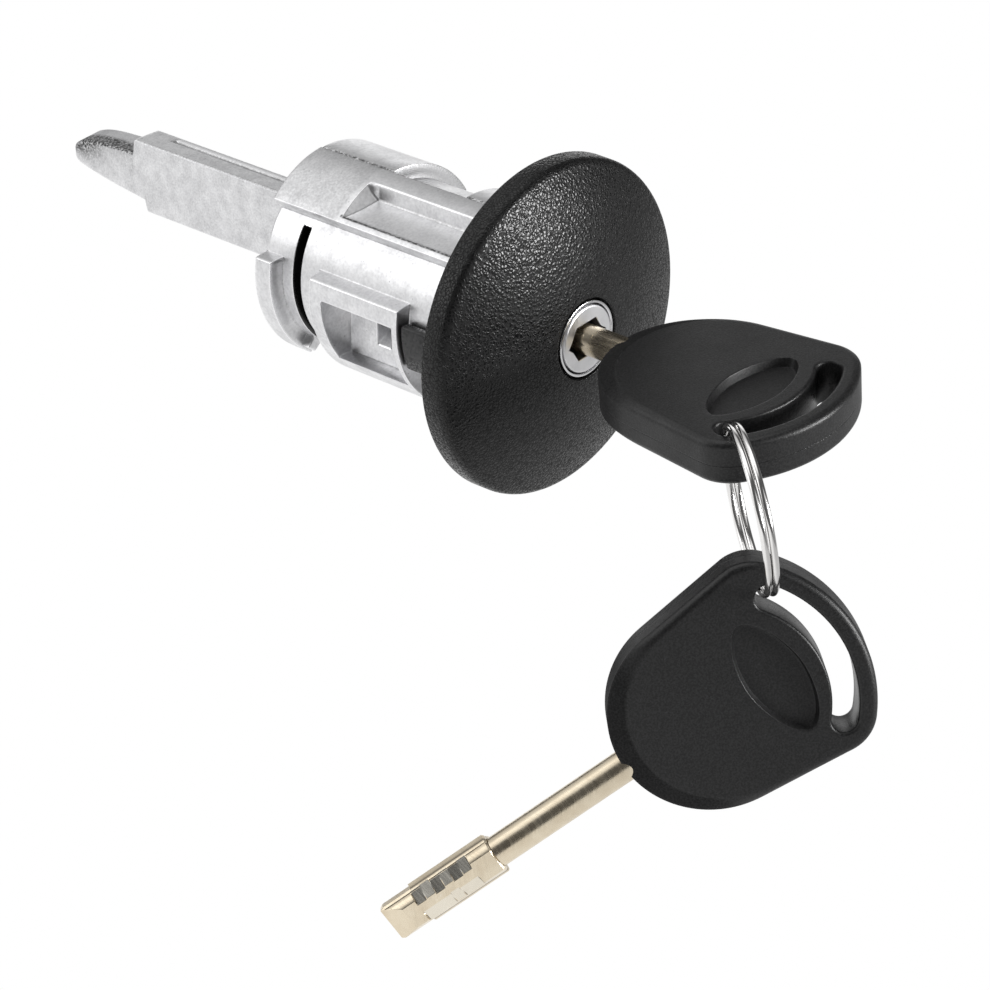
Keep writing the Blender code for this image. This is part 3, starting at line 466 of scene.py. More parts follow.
class Effects:
    """Shared shader groups: hide grain, cast skin, scuffs and milled lines."""

    def __init__(self) -> None:
        """Build each group once."""
        self.hide = self.hide_grain()
        self.cast = self.cast_skin()
        self.scuff = self.light_scuffs()
        self.milled = self.milled_lines()

    @staticmethod
    def hide_grain() -> bpy.types.NodeTree:
        """Pebbles with soft creases between them, as on grained plastic.

        Returns:
            A group with Height, from 0 in a crease to 1 on a pebble, and Crease.
        """
        graph, given, result = new_group("hide_grain", ("Height", "Crease"), Scale=1000.0, Warp=0.35)
        scale, place = given.outputs["Scale"], given.outputs["Place"]
        sway = graph.node("ShaderNodeTexNoise", in_Vector=place, in_Detail=2.0,
                          in_Scale=graph.maths("MULTIPLY", scale, 0.6))
        centred = graph.node("ShaderNodeVectorMath", operation="SUBTRACT",
                             in_0=sway.outputs["Color"], in_1=(0.5, 0.5, 0.5))
        reach = graph.maths("DIVIDE", given.outputs["Warp"], scale)
        moved = graph.node("ShaderNodeVectorMath", operation="SCALE",
                           in_0=centred.outputs[0], in_Scale=graph.maths("MULTIPLY", reach, 2.0))
        bent = graph.node("ShaderNodeVectorMath", operation="ADD", in_0=place, in_1=moved.outputs[0])
        cells = graph.node("ShaderNodeTexVoronoi", feature="SMOOTH_F1", in_Vector=bent.outputs[0],
                           in_Scale=scale, in_Smoothness=0.35)
        edges = graph.node("ShaderNodeTexVoronoi", feature="DISTANCE_TO_EDGE",
                           in_Vector=bent.outputs[0], in_Scale=scale)
        crease = graph.spread(edges.outputs["Distance"], 0.0, 0.16, 1.0, 0.0, smooth=True)
        dome = graph.spread(cells.outputs["Distance"], 0.0, 0.75, 1.0, 0.0)
        height = graph.maths("MULTIPLY", dome, graph.maths("SUBTRACT", 1.0, crease))
        graph.fill(result, Height=height, Crease=crease)
        return graph.tree

    @staticmethod
    def cast_skin() -> bpy.types.NodeTree:
        """Cloudy patches and small pits of die-cast metal.

        Returns:
            A group with Cloud, Pit and Height.
        """
        graph, given, result = new_group("cast_skin", ("Cloud", "Pit", "Height"), Size=260.0)
        place, size = given.outputs["Place"], given.outputs["Size"]
        broad = graph.noise(place, size, 4.0, 0.6)
        fine = graph.noise(place, graph.maths("MULTIPLY", size, 7.0), 3.0, 0.55)
        cloud = graph.maths("ADD", *(graph.maths("MULTIPLY", part, 0.5) for part in (broad, fine)))
        spots = graph.node("ShaderNodeTexVoronoi", feature="F1", in_Vector=place,
                           in_Scale=graph.maths("MULTIPLY", size, 4.0))
        near = graph.spread(spots.outputs["Distance"], 0.05, 0.22, 1.0, 0.0, smooth=True)
        few = graph.spread(graph.noise(place, graph.maths("MULTIPLY", size, 1.6), 2.0), 0.56, 0.66)
        pit = graph.maths("MULTIPLY", near, few)
        height = graph.maths("SUBTRACT", cloud, graph.maths("MULTIPLY", pit, 0.8))
        graph.fill(result, Cloud=graph.spread(cloud, 0.35, 0.65), Pit=pit, Height=height)
        return graph.tree

    @staticmethod
    def light_scuffs() -> bpy.types.NodeTree:
        """Thin worn lines in two directions, in patches.

        Returns:
            A group with Scuff, from 0 to 1.
        """
        graph, given, result = new_group("light_scuffs", ("Scuff",), Size=300.0, Amount=0.5)
        place, size = given.outputs["Place"], given.outputs["Size"]
        parts = []
        for stretch in ((1.0, 7.0, 1.6), (6.0, 1.0, 9.0)):
            line = graph.noise(graph.scaled(place, stretch), size, 2.0, 0.4)
            away = graph.maths("ABSOLUTE", graph.maths("SUBTRACT", line, 0.5))
            parts.append(graph.spread(away, 0.0, 0.012, 1.0, 0.0))
        where = graph.spread(graph.noise(place, graph.maths("MULTIPLY", size, 0.35), 3.0), 0.55, 0.68)
        shown = graph.maths("MULTIPLY", graph.maths("MAXIMUM", *parts), where)
        graph.fill(result, Scuff=graph.maths("MULTIPLY", shown, given.outputs["Amount"]))
        return graph.tree

    @staticmethod
    def milled_lines() -> bpy.types.NodeTree:
        """Fine parallel tool lines across one direction.

        Returns:
            A group with Line, from 0 to 1.
        """
        graph, given, result = new_group("milled_lines", ("Line",), Pitch=6000.0)
        stretched = graph.scaled(given.outputs["Place"], (1.0, 0.04, 0.04))
        line = graph.noise(stretched, given.outputs["Pitch"], 2.0, 0.7)
        graph.fill(result, Line=graph.spread(line, 0.35, 0.65))
        return graph.tree


def plain_material(name: str) -> tuple[bpy.types.Material, Graph, bpy.types.Node]:
    """Make a material and return it with its graph and its plain shader."""
    material = bpy.data.materials.new(name)
    material.use_nodes = True
    return material, Graph(material.node_tree), material.node_tree.nodes["Principled BSDF"]


class Finish:
    """What every finish starts from: a material, its shader and its places."""

    name: str

    def start(self) -> tuple[bpy.types.Material, Graph, bpy.types.Node, bpy.types.NodeSocket]:
        """Make a material with a plain shader and Object coordinates.

        Returns:
            The material, its graph, its shader and the place socket.
        """
        material, graph, shader = plain_material(self.name)
        return material, graph, shader, graph.node("ShaderNodeTexCoord").outputs["Object"]


@dataclass(frozen=True)
class CastZinc(Finish):
    """Satin die-cast zinc, cloudy, with pits, dirt, a little handling wear, painted shade in inner
    corners and the clip slot, and painted highlight on outer edges.
    """

    name: str = "cast_zinc"
    pale: Colour = (0.85, 0.85, 0.86)
    dull: Colour = (0.64, 0.64, 0.65)
    smooth: float = 0.30
    rough: float = 0.40
    cloud_size: float = 300.0
    scuff_size: float = 420.0
    speckle_size: float = 2600.0
    relief: float = 0.000014
    scuffs: float = 0.55
    pitted: Colour = (0.22, 0.22, 0.23)
    dirt_and_shade: Colour = (0.10, 0.10, 0.10)
    bare_and_highlight: Colour = (0.95, 0.95, 0.96)
    shadow: Colour = (0.006, 0.006, 0.006)

    def build(self, effects: Effects) -> bpy.types.Material:
        """Make the material from the shared cast skin and scuff groups."""
        material, graph, shader, place = self.start()
        skin = graph.use(effects.cast, Place=place, Size=self.cloud_size)
        scuff = graph.use(effects.scuff, Place=place, Size=self.scuff_size, Amount=self.scuffs)
        cloud = skin.outputs["Cloud"]
        pits = graph.maths("MULTIPLY", skin.outputs["Pit"], 0.55)
        base = graph.blend(pits, graph.blend(cloud, self.dull, self.pale), self.pitted)
        speckle = graph.noise(place, self.speckle_size, 3.0, 0.65)
        # Painted shade: inner (concave) corners are darkened towards the dirt-and-shade colour, mottled
        # by speckle.
        corner = graph.maths("MULTIPLY", graph.layer("edge", -0.12, -0.75),
                             graph.spread(speckle, 0.35, 0.60))
        # Darker marks stored on each piece (dirt in the parting line, plain darker bands, and painted
        # shade on the tail's tip), mottled by speckle.
        soil_and_shade = graph.maths("MULTIPLY", graph.layer("soil_and_shade", 0.02, 0.7),
                           graph.spread(speckle, 0.38, 0.56, 0.25, 1.0))
        dark = graph.maths("MAXIMUM", graph.maths("MULTIPLY", corner, 0.3), soil_and_shade, clamp=True)
        # Painted highlight, partly edge wear: outer (convex) edges are lightened towards the bare-metal
        # colour together with the real scuffs.
        edges = graph.maths("MULTIPLY", graph.layer("edge", 0.15, 0.8), 0.8)
        wear_and_edge_shine = graph.maths("MAXIMUM", scuff.outputs["Scuff"], edges)
        bright = graph.maths("MULTIPLY", wear_and_edge_shine, graph.maths("SUBTRACT", 1.0, dark))
        worn = graph.blend(bright, graph.blend(dark, base, self.dirt_and_shade), self.bare_and_highlight)
        # Painted shade: inside the clip slot (attribute "pit") the colour goes to near-black and the
        # metal turns non-metallic.
        black = graph.layer("pit", 0.1, 0.6)
        tone = graph.spread(cloud, 0.0, 1.0, self.rough, self.smooth)
        polished = graph.maths("SUBTRACT", tone, graph.maths("MULTIPLY", bright, 0.10))
        rough = graph.maths("ADD", polished, graph.maths("MULTIPLY", dark, 0.25), clamp=True)
        graph.fill(shader, Base_Color=graph.blend(black, worn, self.shadow), Roughness=rough,
                   Metallic=graph.spread(black, 0.0, 1.0, 1.0, 0.0))
        graph.raise_surface(shader, (skin.outputs["Height"], self.relief), (speckle, self.relief * 0.35))
        return material


@dataclass(frozen=True)
class GrainedBlack(Finish):
    """Black plastic with a hide grain where the attribute "grain" is one."""

    name: str = "grained_black"
    colour: Colour = (0.005, 0.005, 0.0052)
    crease: Colour = (0.001, 0.001, 0.001)
    plain: Colour = (0.035, 0.035, 0.036)
    roughness: float = 0.23
    dip_roughness: float = 0.75
    specular: float = 0.36
    grain: float = 1850.0
    warp: float = 0.75
    relief: float = 0.000045

    def build(self, effects: Effects) -> bpy.types.Material:
        """Make the material from the shared hide grain."""
        material, graph, shader, place = self.start()
        grain = graph.use(effects.hide, Place=place, Scale=self.grain, Warp=self.warp)
        dip = grain.outputs["Crease"]
        grained = graph.layer("grain", 0.0, 1.0)
        # Painted shade: the grain's creases are coloured darker than the pebbles.
        base = graph.blend(dip, self.colour, self.crease)
        graph.fill(shader, Base_Color=graph.blend(grained, self.plain, base),
                   Roughness=graph.spread(dip, 0.0, 1.0, self.roughness, self.dip_roughness),
                   Specular_IOR_Level=self.specular)
        height = graph.maths("MULTIPLY", grain.outputs["Height"], grained)
        graph.raise_surface(shader, (height, self.relief))
        return material


@dataclass(frozen=True)
class MouldedBlack(Finish):
    """Matt black plastic with a fine even texture, duller where "dull" is one."""

    name: str = "moulded_black"
    colour: Colour = (0.0045, 0.0045, 0.0047)
    grain: Colour = (0.019, 0.019, 0.0195)
    worn: Colour = (0.03, 0.03, 0.031)
    roughness: float = 0.44
    dull_roughness: float = 0.45
    relief: float = 0.00004
    specular: float = 0.45
    scuff_size: float = 260.0
    dust_size: float = 2600.0
    grain_size: float = 3600.0
    cloud_size: float = 180.0

    def build(self, effects: Effects) -> bpy.types.Material:
        """Make the material from fine noise and the shared scuffs."""
        material, graph, shader, place = self.start()
        scuff = graph.use(effects.scuff, Place=place, Size=self.scuff_size, Amount=0.35)
        dust = graph.spread(graph.noise(place, self.dust_size, 1.0), 0.74, 0.80)
        mark = graph.maths("MAXIMUM", scuff.outputs["Scuff"], dust)
        grain = graph.noise(place, self.grain_size, 3.0, 0.6)
        base = graph.blend(graph.spread(grain, 0.40, 0.62), self.colour, self.grain)
        tone = graph.spread(graph.noise(place, self.cloud_size, 4.0), 0.3, 0.7,
                            self.roughness - 0.05, self.roughness + 0.07)
        wear_and_edge_shine = graph.maths("MULTIPLY", graph.layer("edge", 0.10, 0.7), 0.14)
        dull = graph.maths("MULTIPLY", graph.layer("dull", 0.0, 1.0), self.dull_roughness)
        graph.fill(shader, Base_Color=graph.blend(mark, base, self.worn),
                   Roughness=graph.maths("ADD", graph.maths("SUBTRACT", tone, wear_and_edge_shine), dull),
                   Specular_IOR_Level=self.specular)
        graph.raise_surface(shader, (grain, self.relief))
        return material


@dataclass(frozen=True)
class BrightMetal(Finish):
    """Plain bright metal with tool lines, light wear, fresh cuts, and painted shade in inner corners and
    along marked lines.
    """

    name: str = "bright_metal"
    colour: Colour = (0.80, 0.80, 0.80)
    tint: Colour = (0.70, 0.70, 0.70)
    roughness: float = 0.22
    spread_of_rough: float = 0.10
    line_pitch: float = 5000.0
    relief: float = 0.000004
    scuff_size: float = 500.0
    cloud_size: float = 340.0
    fresh: Colour = (0.82, 0.79, 0.71)
    scuffed: Colour = (0.9, 0.88, 0.84)
    corner_shade: Colour = (0.08, 0.07, 0.06)

    def build(self, effects: Effects) -> bpy.types.Material:
        """Make the material from the shared tool lines and scuffs."""
        material, graph, shader, place = self.start()
        lines = graph.use(effects.milled, Place=place, Pitch=self.line_pitch)
        scuff = graph.use(effects.scuff, Place=place, Size=self.scuff_size, Amount=0.5)
        cloud = graph.spread(graph.noise(place, self.cloud_size, 4.0, 0.6), 0.3, 0.7)
        base = graph.blend(cloud, self.tint, self.colour)
        cut = graph.blend(graph.layer("cut", 0.0, 1.0), base, self.fresh)
        worn = graph.blend(scuff.outputs["Scuff"], cut, self.scuffed)
        # Painted shade: inner corners and the marked lines are darkened towards the corner-shade colour.
        inner = graph.maths("MAXIMUM", graph.layer("edge", -0.1, -0.6), graph.layer("corner_shade", 0.0, 1.0))
        line = lines.outputs["Line"]
        graph.fill(shader, Base_Color=graph.blend(graph.maths("MULTIPLY", inner, 0.8), worn, self.corner_shade),
                   Roughness=graph.spread(line, 0.0, 1.0, self.roughness,
                                          self.roughness + self.spread_of_rough),
                   Metallic=1.0)
        graph.raise_surface(shader, (line, self.relief))
        return material


def every_finish() -> Palette:
    """Make each material of the set once, under a short word for its use."""
    effects = Effects()
    finishes = {
        "zinc": CastZinc(),
        "tail": CastZinc("tail_zinc", (0.82, 0.82, 0.83), (0.58, 0.58, 0.59), 0.34, 0.50, 420.0),
        "grained": GrainedBlack(),
        "moulded": MouldedBlack(),
        "face": BrightMetal("plug_face_steel", (0.90, 0.90, 0.91), (0.78, 0.78, 0.79), 0.30),
        "ferrule": BrightMetal("ferrule_steel", (0.86, 0.86, 0.87), (0.80, 0.80, 0.81), 0.14),
        "nickel": BrightMetal("nickel_silver", (0.82, 0.73, 0.57), (0.70, 0.60, 0.45), 0.20,
                              line_pitch=3600.0),
        "chrome": BrightMetal("ring_plate", (0.86, 0.85, 0.84), (0.74, 0.73, 0.72), 0.12,
                              spread_of_rough=0.0, relief=0.0000002),
        "brass": BrightMetal("disc_brass", (0.80, 0.62, 0.30), (0.66, 0.50, 0.24), 0.28),
        "spring": BrightMetal("spring_steel", (0.20, 0.20, 0.21), (0.12, 0.12, 0.13), 0.35),
    }
    return {use: finish.build(effects) for use, finish in finishes.items()}


class Slot(Enum):
    """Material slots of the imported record."""

    ZINC = "zinc"
    BLACK = "black"
    STEEL = "steel"
    NICKEL = "nickel"
    HEAD = "head"
    RING = "ring"


# Sub-assemblies


@dataclass
class DomeCover:
    """The round black cover: rim, crown, collar and two clip tabs."""

    radius: float = 26.0
    crease_radius: float = 25.6
    crease_height: float = 3.8
    crease_round: float = 0.9
    face_height: float = 9.0
    hole_radius: float = 6.25
    hole_round: float = 0.3
    wall: float = 2.0
    rim_wall: float = 2.4
    collar_wall: float = 1.6
    collar_back: float = -5.5
    tab_inner: float = 14.9
    tab_outer: float = 16.6
    tab_end: float = 13.0
    tab_width_deg: float = 27.0
    tab_centres_deg: tuple[float, float] = (190.0, 10.0)
    steps: int = 256

    def crown(self, radius: Array) -> Array:
        """Height of the face at a radius: a sphere through crease and hole edge."""
        rise = self.face_height - self.crease_height
        depth = (self.crease_radius ** 2 - self.hole_radius ** 2 - rise ** 2) / (2.0 * rise)
        sphere = math.hypot(self.hole_radius, depth + rise)
        return self.crease_height + np.sqrt(sphere ** 2 - radius ** 2) - depth

    def profile(self) -> Array:
        """The closed (radius, y) profile, front face first."""
        turn = np.linspace(0.0, 1.0, 7)
        edge = self.hole_round
        hole = np.stack([self.hole_radius + edge * (1.0 - np.cos(turn * math.pi / 2)),
                         -self.crown(np.full(7, self.hole_radius + edge)) + edge * (1.0 - turn) ** 2], 1)
        face_radius = np.linspace(self.hole_radius + edge, self.crease_radius - self.crease_round, 44)
        face = np.stack([face_radius, -self.crown(face_radius)], axis=1)
        start = face[-1]
        end = np.array([self.radius - 0.04, -(self.crease_height - self.crease_round * 1.05)])
        corner = np.array([self.crease_radius + 0.22, start[1] + 0.36])
        share = np.linspace(0.0, 1.0, 9)[:, None]
        fold = (1 - share) ** 2 * start + 2 * share * (1 - share) * corner + share ** 2 * end
        side = np.array([[self.radius, -0.25], [self.radius - 0.06, -0.07], [self.radius - 0.22, 0.0]])
        inside = self.radius - self.rim_wall
        inner_radius = np.linspace(inside - 0.2, self.hole_radius + self.collar_wall, 12)
        inner = np.stack([inner_radius, -(self.crown(inner_radius) - self.wall)], axis=1)
        back = np.array([[self.hole_radius + self.collar_wall, self.collar_back],
                         [self.hole_radius, self.collar_back]])
        return np.concatenate([hole, face[1:-1], fold, side, [[inside, 0.0]], inner, back])

    def tab(self, centre_deg: float) -> Array:
        """One clip tab as rings of a rounded section swept round the axis."""
        front = float(-(self.crown(np.array(self.tab_outer)) - self.wall + 0.8))
        half = self.tab_width_deg / 2.0
        angles = np.concatenate([[-half, -half + 0.5], np.linspace(-half + 1.2, half - 1.2, 14),
                                 [half - 0.5, half]])
        insets = np.array([0.35, 0.1] + [0.0] * 14 + [0.1, 0.35])
        corner = 0.35
        rings = []
        for angle, inset in zip(np.radians(angles + centre_deg), insets):
            low = np.array([self.tab_inner + inset, front + inset]) + corner
            high = np.array([self.tab_outer - inset, self.tab_end - inset]) - corner
            centres = (low, (high[0], low[1]), high, (low[0], high[1]))
            section = np.concatenate([arc_points(corner, start, start + 90, 5, tuple(centre))
                                      for centre, start in zip(centres, (180, 270, 0, 90))])
            rings.append(turned(section[:, 0], section[:, 1], angle))
        return np.stack(rings)

    def build(self, palette: Palette) -> None:
        """Turn the cover, add its tabs and dress it."""
        mesh = PieceMesh("dome_skin")
        mesh.add(revolved(self.profile(), self.steps), wrap_rows=True)
        for centre in self.tab_centres_deg:
            mesh.add_capped(self.tab(centre))
        piece = mesh.build()
        x, y, z = places_mm(piece.data).T
        keep_layer(piece.data, "grain", (np.hypot(x, z) > self.tab_outer + 0.2) | (y < self.collar_back))
        dressed(piece, palette["grained"], "housing", Slot.BLACK.value, "dome_cover")


@dataclass
class BarrelHousing:
    """The die-cast barrel, as one height over angle and length.

    The outside is a radius r(angle, y): a cylinder raised by pads, collar and
    window frame, and cut by the pocket, the window and the clip slot. Inside
    the window the angle is stretched too, so that its lower wall lies level.
    """

    base: float = 14.6
    pad: float = 17.0
    block: float = 16.85
    end: float = 43.3
    bore: float = 10.0
    ridge_deg: float = 98.0
    pad_edge_deg: float = 138.0
    rear_edge_deg: float = 31.0
    rear_start: float = 28.0
    front_edge_deg: float = 62.0
    front_end: float = 13.5
    pocket_normal_deg: float = 104.4
    pocket_floor: float = 14.53
    pocket_sides_deg: tuple[float, float] = (110.0, 134.2)
    pocket_draft_deg: float = 3.6
    pocket_end: tuple[float, float] = (27.2, 29.2)
    frame_top_deg: tuple[float, float] = (166.0, 169.6)
    frame_bottom_deg: float = 240.0
    frame_y: tuple[float, float] = (13.3, 31.8)
    window_y: tuple[float, float] = (14.7, 28.9)
    window_low: float = -10.2
    window_floor: float = 11.0
    hole_y: tuple[float, float] = (20.4, 23.0)
    hole_z: tuple[float, float] = (-3.3, -7.0)
    hole_depth: float = 3.2
    collar_top_deg: tuple[float, float] = (166.6, 169.4)
    collar_start: float = 39.75
    bridge_deg: tuple[float, float] = (229.0, 236.0)
    bridge_start: float = 38.1
    slot_y: tuple[float, float] = (35.9, 37.3)
    slot_deg: tuple[float, float] = (145.0, 236.0)
    parting_deg: tuple[float, float] = (-2.0, -0.9)
    parting_depth: float = 0.14
    bore_start: float = 1.0
    neck_bore: float = 5.45
    neck_radius: float = 8.6
    neck_front: float = -5.2
    flange_radius: float = 20.0
    flange_front: float = -3.2
    flange_back: float = -0.4
    crisp: float = 0.34
    parting_soil: float = 1.2
    rear_dark: float = 0.16
    rim_dark: float = 0.55

    def window_deg(self) -> tuple[float, float]:
        """Angles of the window's lower wall at its mouth and at its floor."""
        mouth = 180.0 + math.degrees(math.asin(-self.window_low / self.pad))
        floor = 180.0 + math.degrees(math.atan2(-self.window_low, self.window_floor))
        return mouth, floor

    def surface(self, angle: Array, y: Array) -> tuple[Array, Array]:
        """Radius and true angle of the outside.

        Args:
            angle: Grid angles in degrees.
            y: Grid places along the axis.

        Returns:
            The radius and the stretched angle, each the size of the grid.
        """
        crisp = self.crisp
        turn = math.degrees(crisp / self.pad)
        radius = np.full(np.broadcast(angle, y).shape, self.base)

        def lift(mask: Array, height: float) -> None:
            """Raise the radius to a height where a mask is one."""
            np.maximum(radius, self.base + (height - self.base) * mask, out=radius)

        lift(band(angle, self.ridge_deg - 1.5, self.pad_edge_deg, turn), self.pad)
        lift(band(angle, self.rear_edge_deg, self.ridge_deg, turn)
             * wall(y, self.rear_start, crisp * 0.3), self.block)
        lift(band(angle, self.front_edge_deg, self.ridge_deg, turn)
             * wall(y, self.front_end, crisp, -1), self.block)
        lift(ramp(angle, *self.collar_top_deg, 0.2) * wall(angle, self.frame_bottom_deg, turn, -1)
             * wall(y, self.collar_start, crisp), self.pad)
        lift(band(angle, *self.bridge_deg, turn)
             * band(y, self.bridge_start, self.collar_start + 1, crisp), self.pad - 0.4)
        lift(ramp(angle, *self.frame_top_deg, 0.2) * wall(angle, self.frame_bottom_deg, turn, -1)
             * band(y, *self.frame_y, crisp), self.pad)

        away = np.radians(angle - self.pocket_normal_deg)
        floor = self.pocket_floor / np.maximum(np.cos(away), 0.3)
        high, low = self.pocket_sides_deg
        depth = self.pad - self.pocket_floor
        slope = depth / (self.pocket_end[1] - self.pocket_end[0])
        end_wall = self.pad + (y - self.pocket_end[1]) * slope
        sunk = floor + hinge(end_wall - floor, 0.22)
        pocket = (ramp(angle, high - 0.3, high + self.pocket_draft_deg, 0.16)
                  * wall(angle, low, turn, -1) * wall(y, self.pocket_end[1], crisp, -1))
        radius += np.minimum(sunk - radius, 0.0) * pocket

        mouth, corner = self.window_deg()
        gap = band(angle, 180.0, mouth, turn) * band(y, *self.window_y, crisp)
        stretch = (corner - 180.0) / (mouth - 180.0) - 1.0
        true_angle = angle + gap * stretch * (angle - 180.0) * (angle > 180.0) * (angle < mouth + 2.0)
        floor = self.window_floor / np.maximum(np.cos(np.radians(true_angle - 180.0)), 0.3)
        radius += (floor - radius) * gap
        low = 180.0 + math.degrees(math.atan2(-self.hole_z[0], self.window_floor)) / (1 + stretch)
        high = 180.0 + math.degrees(math.atan2(-self.hole_z[1], self.window_floor)) / (1 + stretch)
        radius -= self.hole_depth * band(angle, low, high, turn) * band(y, *self.hole_y, crisp)

        groove = [self.ridge_deg + step for step in self.parting_deg]
        radius -= self.parting_depth * band(angle, *groove, turn * 0.7) * (y > 0.2)
        slot = band(angle, *self.slot_deg, turn * 1.6) * band(y, *self.slot_y, crisp * 0.6)
        radius += np.minimum(self.bore - 1.0 - radius, 0.0) * slot
        return radius, true_angle

    def build(self, palette: Palette) -> None:
        """Make the outside, close it over the bore and dress it."""
        mouth, _ = self.window_deg()
        degrees = grid_lines(0.0, 360.0, 2.4, [
            self.rear_edge_deg, self.front_edge_deg, self.ridge_deg - 0.7, *self.pocket_sides_deg,
            self.pad_edge_deg, self.slot_deg[0], *self.frame_top_deg, 180.0, 194.4, 208.0, mouth,
            *self.bridge_deg, self.frame_bottom_deg], 1.1)[:-1]
        high, low = self.pocket_sides_deg
        degrees = np.unique(np.concatenate([degrees, np.arange(high + 1.3, low - 1.3, 0.8)]))
        lengths = grid_lines(self.flange_back, self.end - 0.3, 0.55, [
            *self.frame_y, self.front_end, *self.window_y, *self.hole_y, *self.pocket_end,
            self.rear_start, *self.slot_y, self.bridge_start, self.collar_start], 0.3)
        lengths = np.unique(np.concatenate([lengths, np.arange(self.pocket_end[0] + 0.37,
                                                               self.pocket_end[1] - 0.37, 0.14)]))
        radius, true_angle = self.surface(degrees[None, :], lengths[:, None])
        outside = turned(radius, lengths[:, None], np.radians(true_angle))
        last = radius[-1]
        flat = np.radians(degrees)
        rows = [(last - 0.03, self.end - 0.16), (last - 0.10, self.end - 0.05), (last - 0.26, self.end),
                (last - 0.45, self.end)]
        rows += [(self.bore + 0.45, self.end), (self.bore + 0.3, self.end), (self.bore, self.end - 0.3),
                 (self.bore, self.bore_start), (self.neck_bore, self.bore_start),
                 (self.neck_bore, self.neck_front), (self.neck_radius, self.neck_front),
                 (self.neck_radius, self.flange_front), (self.flange_radius, self.flange_front),
                 (self.flange_radius, self.flange_back)]
        closing = np.stack([turned(reach, y, flat) for reach, y in rows])
        mesh = PieceMesh("barrel_skin")
        mesh.add(np.concatenate([outside, closing]), wrap_rows=True)
        piece = mesh.build(sharp_deg=50.0)
        self.soil_and_shade(piece.data)
        dressed(piece, palette["zinc"], "housing", Slot.ZINC.value, "housing_barrel")

    def soil_and_shade(self, mesh: bpy.types.Mesh) -> None:
        """Store the darker marks and the clip slot's painted shade, as attributes: dirt in the parting
        line, and darker bands along the pocket floor's low edge, over the rear pad and round the rear
        block's front rim.
        """
        x, y, z = places_mm(mesh).T
        angle = np.degrees(np.arctan2(z, x)) % 360.0
        radius = np.hypot(x, z)
        line = self.ridge_deg + sum(self.parting_deg) / 2.0
        outside = (y > 0.0) & (y < self.end - 0.1) & (radius > self.base - 0.3)
        parting = self.parting_soil * np.exp(-((angle - line) / 1.1) ** 2) * outside
        low = self.pocket_sides_deg[1]
        floor_edge = (np.exp(-((angle - low + 0.25) / 0.75) ** 2) * (y < self.pocket_end[1] + 0.6)
                      * (y > 0.0))
        rear = (self.rear_dark * (angle > self.ridge_deg) * (angle < self.pad_edge_deg)
                * (y > self.pocket_end[1] + 1.0))
        rim = (self.rim_dark * np.exp(-((radius - self.block) / 0.5) ** 2)
               * (np.abs(y - self.rear_start) < 0.12)
               * (angle > self.rear_edge_deg) * (angle < self.ridge_deg - 2.0))
        total = np.clip(parting + floor_edge + rear + rim, 0.0, 1.0)
        # Painted shade: the floor of the clip slot is marked to be painted near-black.
        first, last = self.slot_y
        slot_shade = ((radius < self.base - 0.02) & (y > first - 0.3) & (y < last + 0.3)
                & (angle > self.slot_deg[0] - 1.0) & (angle < self.slot_deg[1] + 1.0))
        keep_layer(mesh, "soil_and_shade", total)
        keep_layer(mesh, "pit", slot_shade)


@dataclass
class PlugFace:
    """The bright ferrule and the face disc with its keyway."""

    ferrule_outer: float = 5.9
    ferrule_inner: float = 5.45
    ferrule_front: float = -8.97
    ferrule_back: float = -5.5
    disc_radius: float = 5.2
    disc_front: float = -9.1
    disc_depth: float = 1.9
    edge: float = 0.22
    keyway: tuple[tuple[float, float], ...] = (
        (-2.15, -2.72), (2.15, -2.72), (3.45, -0.72), (4.1, 0.0), (3.2, 0.82))
    roll_deg: float = 6.2

    def keyway_line(self, spread: float) -> Array:
        """The keyway's point-symmetric outline, rolled and widened.

        Args:
            spread: How far every corner moves away from the middle.

        Returns:
            Points (10, 2) in X and Z.
        """
        half = np.array(self.keyway)
        whole = np.concatenate([half, -half])
        away = whole / np.linalg.norm(whole, axis=1, keepdims=True)
        wide = whole + away * spread
        roll = math.radians(self.roll_deg)
        spin = np.array([[math.cos(roll), math.sin(roll)], [-math.sin(roll), math.cos(roll)]])
        return wide @ spin

    def build(self, palette: Palette) -> None:
        """Make both pieces and dress them."""
        outer, inner = self.ferrule_outer, self.ferrule_inner
        front, back = self.ferrule_front, self.ferrule_back
        profile = np.array([
            [inner, back], [inner, front + 0.2], [inner + 0.04, front + 0.07], [inner + 0.12, front],
            [outer - 0.14, front], [outer - 0.05, front + 0.04], [outer, front + 0.14], [outer, back]])
        ring = PieceMesh("ferrule_ring")
        ring.add(revolved(profile, 128), wrap_rows=True)
        dressed(ring.build(), palette["ferrule"], "housing", Slot.STEEL.value, "face_ferrule")

        top = -self.disc_front
        low = top - self.disc_depth
        axes = Axes(first=(1.0, 0.0, 0.0), second=(0.0, 0.0, 1.0))
        radius = self.disc_radius
        edge = self.edge
        outer_rings = [(radius, low), (radius, top - edge), (radius - 0.3 * edge, top - 0.3 * edge),
                       (radius - edge, top), (radius - edge - 0.12, top)]
        disc = PieceMesh("face_plate")
        disc.add(stacked([arc_points(reach, 0.0, 360.0 - 360.0 / 96, 96) for reach, _ in outer_rings],
                         [height for _, height in outer_rings]))
        disc.add(stacked([self.keyway_line(spread) for spread in (0.0, 0.0, 0.1, 0.16)],
                         [low, top - 0.1, top, top]))
        dressed(disc.build(axes, levels=((2, low), (2, top)), sharp_deg=30.0), palette["face"], "plug",
                Slot.STEEL.value, "face_disc")


